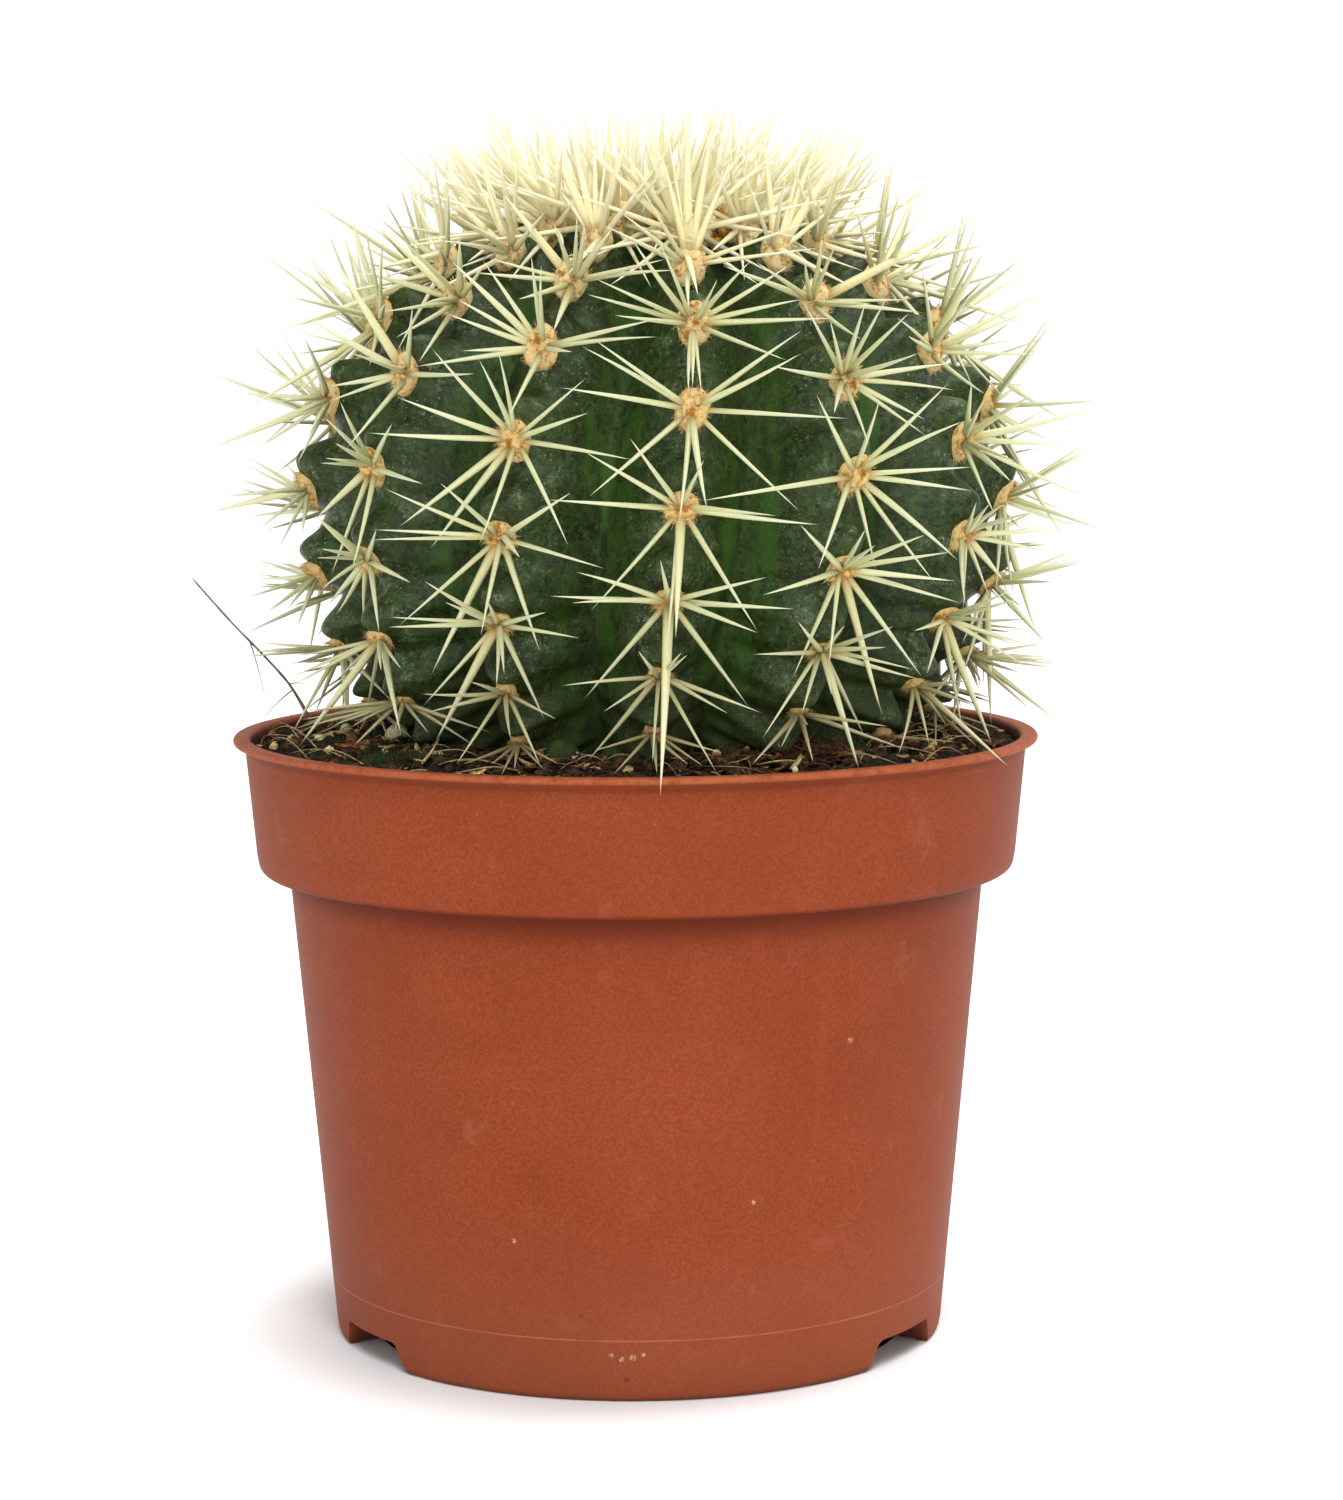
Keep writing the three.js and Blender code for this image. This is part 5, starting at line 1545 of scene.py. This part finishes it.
# The brown clump at the right, and the loose threads by the rim: start, end and rise
CLUMP_AT = np.array([25.0, -35.5, 90.6])
CLUMP_SIZE = np.array([2.6, 1.6, 0.7])
CLUMP_FIBRES = 170
RIM_THREADS = (
    ((-46, -17), (-54.5, -9), 3.2),
    ((-47, -22), (-53.5, -14), 2.4),
    ((-41, -28), (-50, -20), 1.6),
    ((-50, -2), (-55, 4), 2.8),
    ((-38, -32), (-47, -27), 2.2),
    ((44, -20), (52, -18), 2.5),
    ((40, -33), (47, -27), 1.8),
    ((33, -31), (43, -31), 2.0),
    ((36, -24), (46, -19), 2.6),
    ((28, -37), (37, -38), 1.4),
    ((41, -14), (50, -9), 2.4),
)


def loose_fibre(spot):
    """Path and radii of a fibre that lies across the soil about a spot."""
    aim = outward(rng.uniform(0, 360))
    side = np.array([-aim[1], aim[0], 0])
    length = rng.uniform(3, 11)
    shares = np.linspace(-0.5, 0.5, 9)
    bend = np.outer(rng.normal(0, 2) * (shares**2 * 4 - 0.5), side)
    path = spot + np.outer(shares * length, aim) + bend
    r = np.hypot(path[:, 0], path[:, 1])
    path[:, :2] *= np.minimum(1, (RIM_INSIDE - 1.4) / r)[:, None]
    hump = rng.uniform(0.1, 1.4) * np.sin((shares + 0.5) * np.pi)
    path[:, 2] = soil_height(path[:, 0], path[:, 1]) + 0.5 + hump
    return path, rng.uniform(0.04, 0.13) * (1 - 0.5 * np.abs(shares * 2) ** 2)


def clump_fibre():
    """Path and radii of a fibre of the brown clump."""
    aim = unit(rng.normal(size=3) * [1, 1, 0.5])
    bow = unit(np.cross(aim, rng.normal(size=3)))
    middle = CLUMP_AT + rng.normal(0, 1, 3) * CLUMP_SIZE
    shares = np.linspace(-0.5, 0.5, 7)
    reach = np.outer(shares * rng.uniform(2, 6), aim)
    path = middle + reach + np.outer(rng.uniform(0, 3) * shares**2, bow)
    path[:, 2] = np.maximum(path[:, 2], soil_height(path[:, 0], path[:, 1]) + 0.3)
    return path, rng.uniform(0.05, 0.16) * (1 - np.abs(shares))


def rim_thread(start, end, rise):
    """Path and radii of a thread that arches from one place on the soil to another."""
    shares = np.linspace(0, 1, 12)
    path = np.outer(1 - shares, [*start, 0]) + np.outer(shares, [*end, 0])
    path[:, 2] = soil_height(path[:, 0], path[:, 1]) + 0.5 + rise * np.sin(shares * np.pi * 0.8)
    return path, 0.11 * (1 - 0.6 * shares)


def make_fibres():
    brown, pale = Batch(), Batch()
    for spot in soil_spots(LOOSE_FIBRES):
        fibre = loose_fibre(spot)
        (pale if rng.random() < PALE_FIBRE_SHARE else brown).add_tube(*fibre, 5)
    for _ in range(CLUMP_FIBRES):
        brown.add_tube(*clump_fibre(), 4)
    for thread in RIM_THREADS:
        pale.add_tube(*rim_thread(*thread), 5)
    brown_fibre = fibre_material("brown_fibre", (0.025, 0.010, 0.004), (0.17, 0.075, 0.028))
    pale_fibre = fibre_material("pale_fibre", (0.24, 0.15, 0.06), (0.62, 0.48, 0.24))
    belongs(brown.build("root_fibres", brown_fibre), "soil", "soil")
    belongs(pale.build("straw_fibres", pale_fibre), "soil", "soil")


def make_moss():
    batch = Batch()
    made = 0
    while made < MOSS_BLADES:
        mx, my, size = MOSS_PATCHES[int(rng.integers(len(MOSS_PATCHES)))]
        spot = np.array([mx, my]) + rng.normal(0, size * 0.45, 2)
        if math.hypot(*spot) > RIM_INSIDE - 1.5:
            continue
        made += 1
        base = on_soil(*spot) - [0, 0, 0.1]
        lean = unit(np.array([0, 0, 1.0]) + rng.normal(0, 0.5, 3))
        height = rng.uniform(0.8, 1.9)
        path = np.array([base, base + lean * height * 0.6, base + lean * height])
        batch.add_tube(path, [0.12, 0.16, 0], 3)
    s = Shader("moss", Specular_IOR_Level=0.2)
    tone = s.ramp(s.noise(2.5, 3), (0.3, (0.008, 0.017, 0.005)), (0.7, (0.042, 0.062, 0.018)))
    return belongs(batch.build("moss_tufts", s.finish(tone, 0.9)), "soil", "soil")


# Single pale grains at the front: place and size
PALE_GRAINS = (
    (-35.5, -27.0, 0.7),
    (-46.5, -9.5, 0.8),
    (-44.0, -21.5, 0.7),
    (-27.5, -31.5, 0.6),
    (24.0, -37.0, 0.6),
    (46.0, -16.0, 0.6),
)


def make_pale_grains():
    """Small loose grains of the pale kind, half sunk in the soil."""
    batch = Batch()
    points, faces = ball(3)
    spots = [on_soil(x, y) for x, y, _ in PALE_GRAINS]
    sizes = [size for _, _, size in PALE_GRAINS]
    spots += soil_spots(SMALL_PALE_GRAINS)
    sizes += [0.18 + 0.3 * rng.random() ** 2 for _ in range(SMALL_PALE_GRAINS)]
    for spot, size in zip(spots, sizes):
        lumpy = points * (1 + 0.22 * rough(points + spot, 0.9, 3, 61)[:, None])
        batch.add(lumpy * size * rng.uniform(0.8, 1.1, 3) + spot + [0, 0, 0.35 + 0.4 * size], faces)
    material = grain_material("pale_grain", (0.88, 0.86, 0.56), (0.26, 0.20, 0.09), 0.9)
    return belongs(batch.build("pale_grains", material), "perlite", "soil")


# Buds of offsets: place, radius and height
PUPS = ((-10.1, -33.6, 2.7, 2.9), (-2.6, -33.0, 2.1, 2.2), (14.0, -33.5, 1.9, 1.8))


def make_pups():
    """The first low buds of offsets at the foot of the plant."""
    batch = Batch()
    points, faces = ball(4)
    for x, y, radius, height in PUPS:
        place = np.array([x, y, SOIL_EDGE_Z + SOIL_MOUND])
        turn = np.arctan2(points[:, 1], points[:, 0])
        ribs = 1 + 0.05 * np.cos(8 * turn) * np.hypot(points[:, 0], points[:, 1])
        lumpy = points * (ribs + 0.06 * noise(points + place, 0.8, 66))[:, None]
        # groove 0.8 gives the buds the skin's painted groove shade and keeps its painted highlight off
        # them.
        batch.add(lumpy * [radius, radius, height] + place, faces, groove=0.8, young=0.0, swelling=0.0)
    return belongs(batch.build("offset_buds", SKIN_MATERIAL), "flesh", "cactus")


def make_grains():
    """Each pale grain and bark chip, as a rough piece that fills its own node's box."""
    perlite = grain_material("perlite", (0.90, 0.87, 0.52), (0.32, 0.24, 0.09), 0.7)
    bark = fibre_material("bark", (0.07, 0.026, 0.008), (0.46, 0.22, 0.07))
    for prefix, slot, material, size, depth in (
        ("perlite_grain", "perlite", perlite, 1.0, 0.12),
        ("bark_chip", "bark", bark, 0.5, 0.22),
    ):
        for name in grain_nodes(prefix):
            low, high = (np.array(corner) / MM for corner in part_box(name))
            points, faces = ball(4)
            bumpy = points * (1 + depth * rough(points + low, 2 * size, 3, 61)[:, None])
            bumpy = (bumpy - bumpy.min(0)) / (bumpy.max(0) - bumpy.min(0))
            own_name = name.replace("grain", "lump").replace("chip", "flake")
            piece = add_object(own_name, low + bumpy * (high - low), faces, material)
            belongs(piece, slot, name)


# The dry stalk leans out over the rim: the same route as in the frame
STALK_ROUTE = (
    (-49.2, 19, 79),
    (-49.6, 19.3, 87.5),
    (-51.5, 20, 91.3),
    (-53.9, 20, 95.5),
    (-58.3, 20, 100.4),
    (-62.6, 20, 104.8),
    (-68.6, 20, 111.8),
)

# Side hairs of the stalk: where along it, direction and length
STALK_HAIRS = ((0.46, (-1.0, -0.3, -0.7), 7), (0.50, (0.6, -0.3, 0.2), 3), (0.74, (0.35, -0.2, -1.0), 8))


def make_stalk():
    route = np.array(STALK_ROUTE, float)
    shares = np.linspace(0, 1, len(route))
    fine = np.linspace(0, 1, 60)
    path = np.stack([np.interp(fine, shares, route[:, axis]) for axis in range(3)], axis=1)
    for _ in range(12):
        path[1:-1] = (path[:-2] + 2 * path[1:-1] + path[2:]) / 4
    radii = 0.36 - 0.25 * fine + 0.05 * noise(path, 2.0, 71)
    radii[-1] = 0.05
    stalk = Batch()
    stalk.add_tube(path, radii, 10)
    for share, aim, length in STALK_HAIRS:
        start = path[int(share * (len(path) - 1))]
        steps = np.linspace(0, 1, 7)
        sag = np.outer(steps**2, [0, 0, -0.25 * length])
        hair = start + np.outer(steps * length, unit(np.array(aim))) + sag
        stalk.add_tube(hair, 0.12 - 0.1 * steps, 5)
    material = fibre_material("dry_straw", (0.075, 0.048, 0.032), (0.30, 0.21, 0.14))
    return belongs(stalk.build("dry_stalk_fibre", material), "straw", "dry_stalk")


# Stage


def make_camera():
    right, up, ahead = (Vector(axis) for axis in camera_axes())
    data = bpy.data.cameras.new("camera")
    data.sensor_width = SENSOR_MM
    data.lens = FOCAL_PIXELS * SENSOR_MM / IMAGE_LONG_SIDE
    data.clip_start, data.clip_end = 0.01, 20
    camera = bpy.data.objects.new("camera", data)
    turn = Matrix((right, up, -ahead)).transposed().to_4x4()
    camera.matrix_world = Matrix.Translation(Vector(CAMERA_AT) * MM) @ turn
    bpy.context.scene.collection.objects.link(camera)
    bpy.context.scene.camera = camera


def make_floor():
    """A white floor that curves up into a backdrop on every side."""
    columns = 96
    azimuths = 360 * np.arange(columns) / columns
    turns = np.radians(np.linspace(0, 90, 14))
    profile = [(r, 0.0) for r in (40, 200, 600, 1100, 1500)]
    profile += [(1500 + 900 * math.sin(t), 900 * (1 - math.cos(t))) for t in turns[1:]]
    rings = np.array([r * outward(azimuths) + [0, 0, z - 0.02] for r, z in profile])
    points = np.concatenate([rings.reshape(-1, 3), [[0, 0, -0.02]]])
    faces = grid_faces(len(profile), columns).tolist()
    faces += [[len(points) - 1, i, (i + 1) % columns] for i in range(columns)]
    s = Shader("floor", Specular_IOR_Level=0.1)
    s.surface.inputs["Emission Color"].default_value = (1, 1, 1, 1)
    s.put(s.both(s.near((0, 0, 0), 64, 45), 0.34), s.surface.inputs["Emission Strength"])
    floor = add_object("floor", points, faces, s.finish((0.92, 0.92, 0.92, 1), 0.9))
    floor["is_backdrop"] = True


def add_light(name, at, towards, size, power):
    data = bpy.data.lights.new(name, "AREA")
    data.shape, data.size, data.energy = "DISK", size, power
    light = bpy.data.objects.new(name, data)
    light.location = at
    light.rotation_euler = (Vector(towards) - Vector(at)).to_track_quat("-Z", "Y").to_euler()
    bpy.context.scene.collection.objects.link(light)


def make_lights():
    world = bpy.data.worlds.new("studio")
    bpy.context.scene.world = world
    world.use_nodes = True
    background = world.node_tree.nodes["Background"]
    background.inputs["Color"].default_value = (1.0, 1.0, 1.0, 1)
    background.inputs["Strength"].default_value = 0.39
    add_light("key", (0.05, -1.25, 1.6), (0, 0, 0.08), 0.8, 20)
    add_light("top", (0.45, 0.25, 1.5), (0, 0, 0.1), 0.9, 16)
    add_light("fill", (0.1, -1.8, 0.3), (0, 0, 0.08), 0.9, 4.4)
    bpy.context.scene.view_settings.view_transform = "Standard"


make_camera()
make_floor()
make_lights()
make_pot()
SKIN_MATERIAL = flesh_material()
SKIN = make_flesh(SKIN_MATERIAL)
AREOLES = find_areoles()
make_spines(AREOLES)
make_areoles(AREOLES)
make_crown()
make_soil()
make_crumbs()
make_flakes()
make_fibres()
make_moss()
make_pale_grains()
make_pups()
make_grains()
make_stalk()

VISUAL_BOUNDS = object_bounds()
boxes = {"cad": CAD_BOUNDS, "visual": VISUAL_BOUNDS}
{key: [list(map(float, corner)) for corner in box] for key, box in boxes.items()}
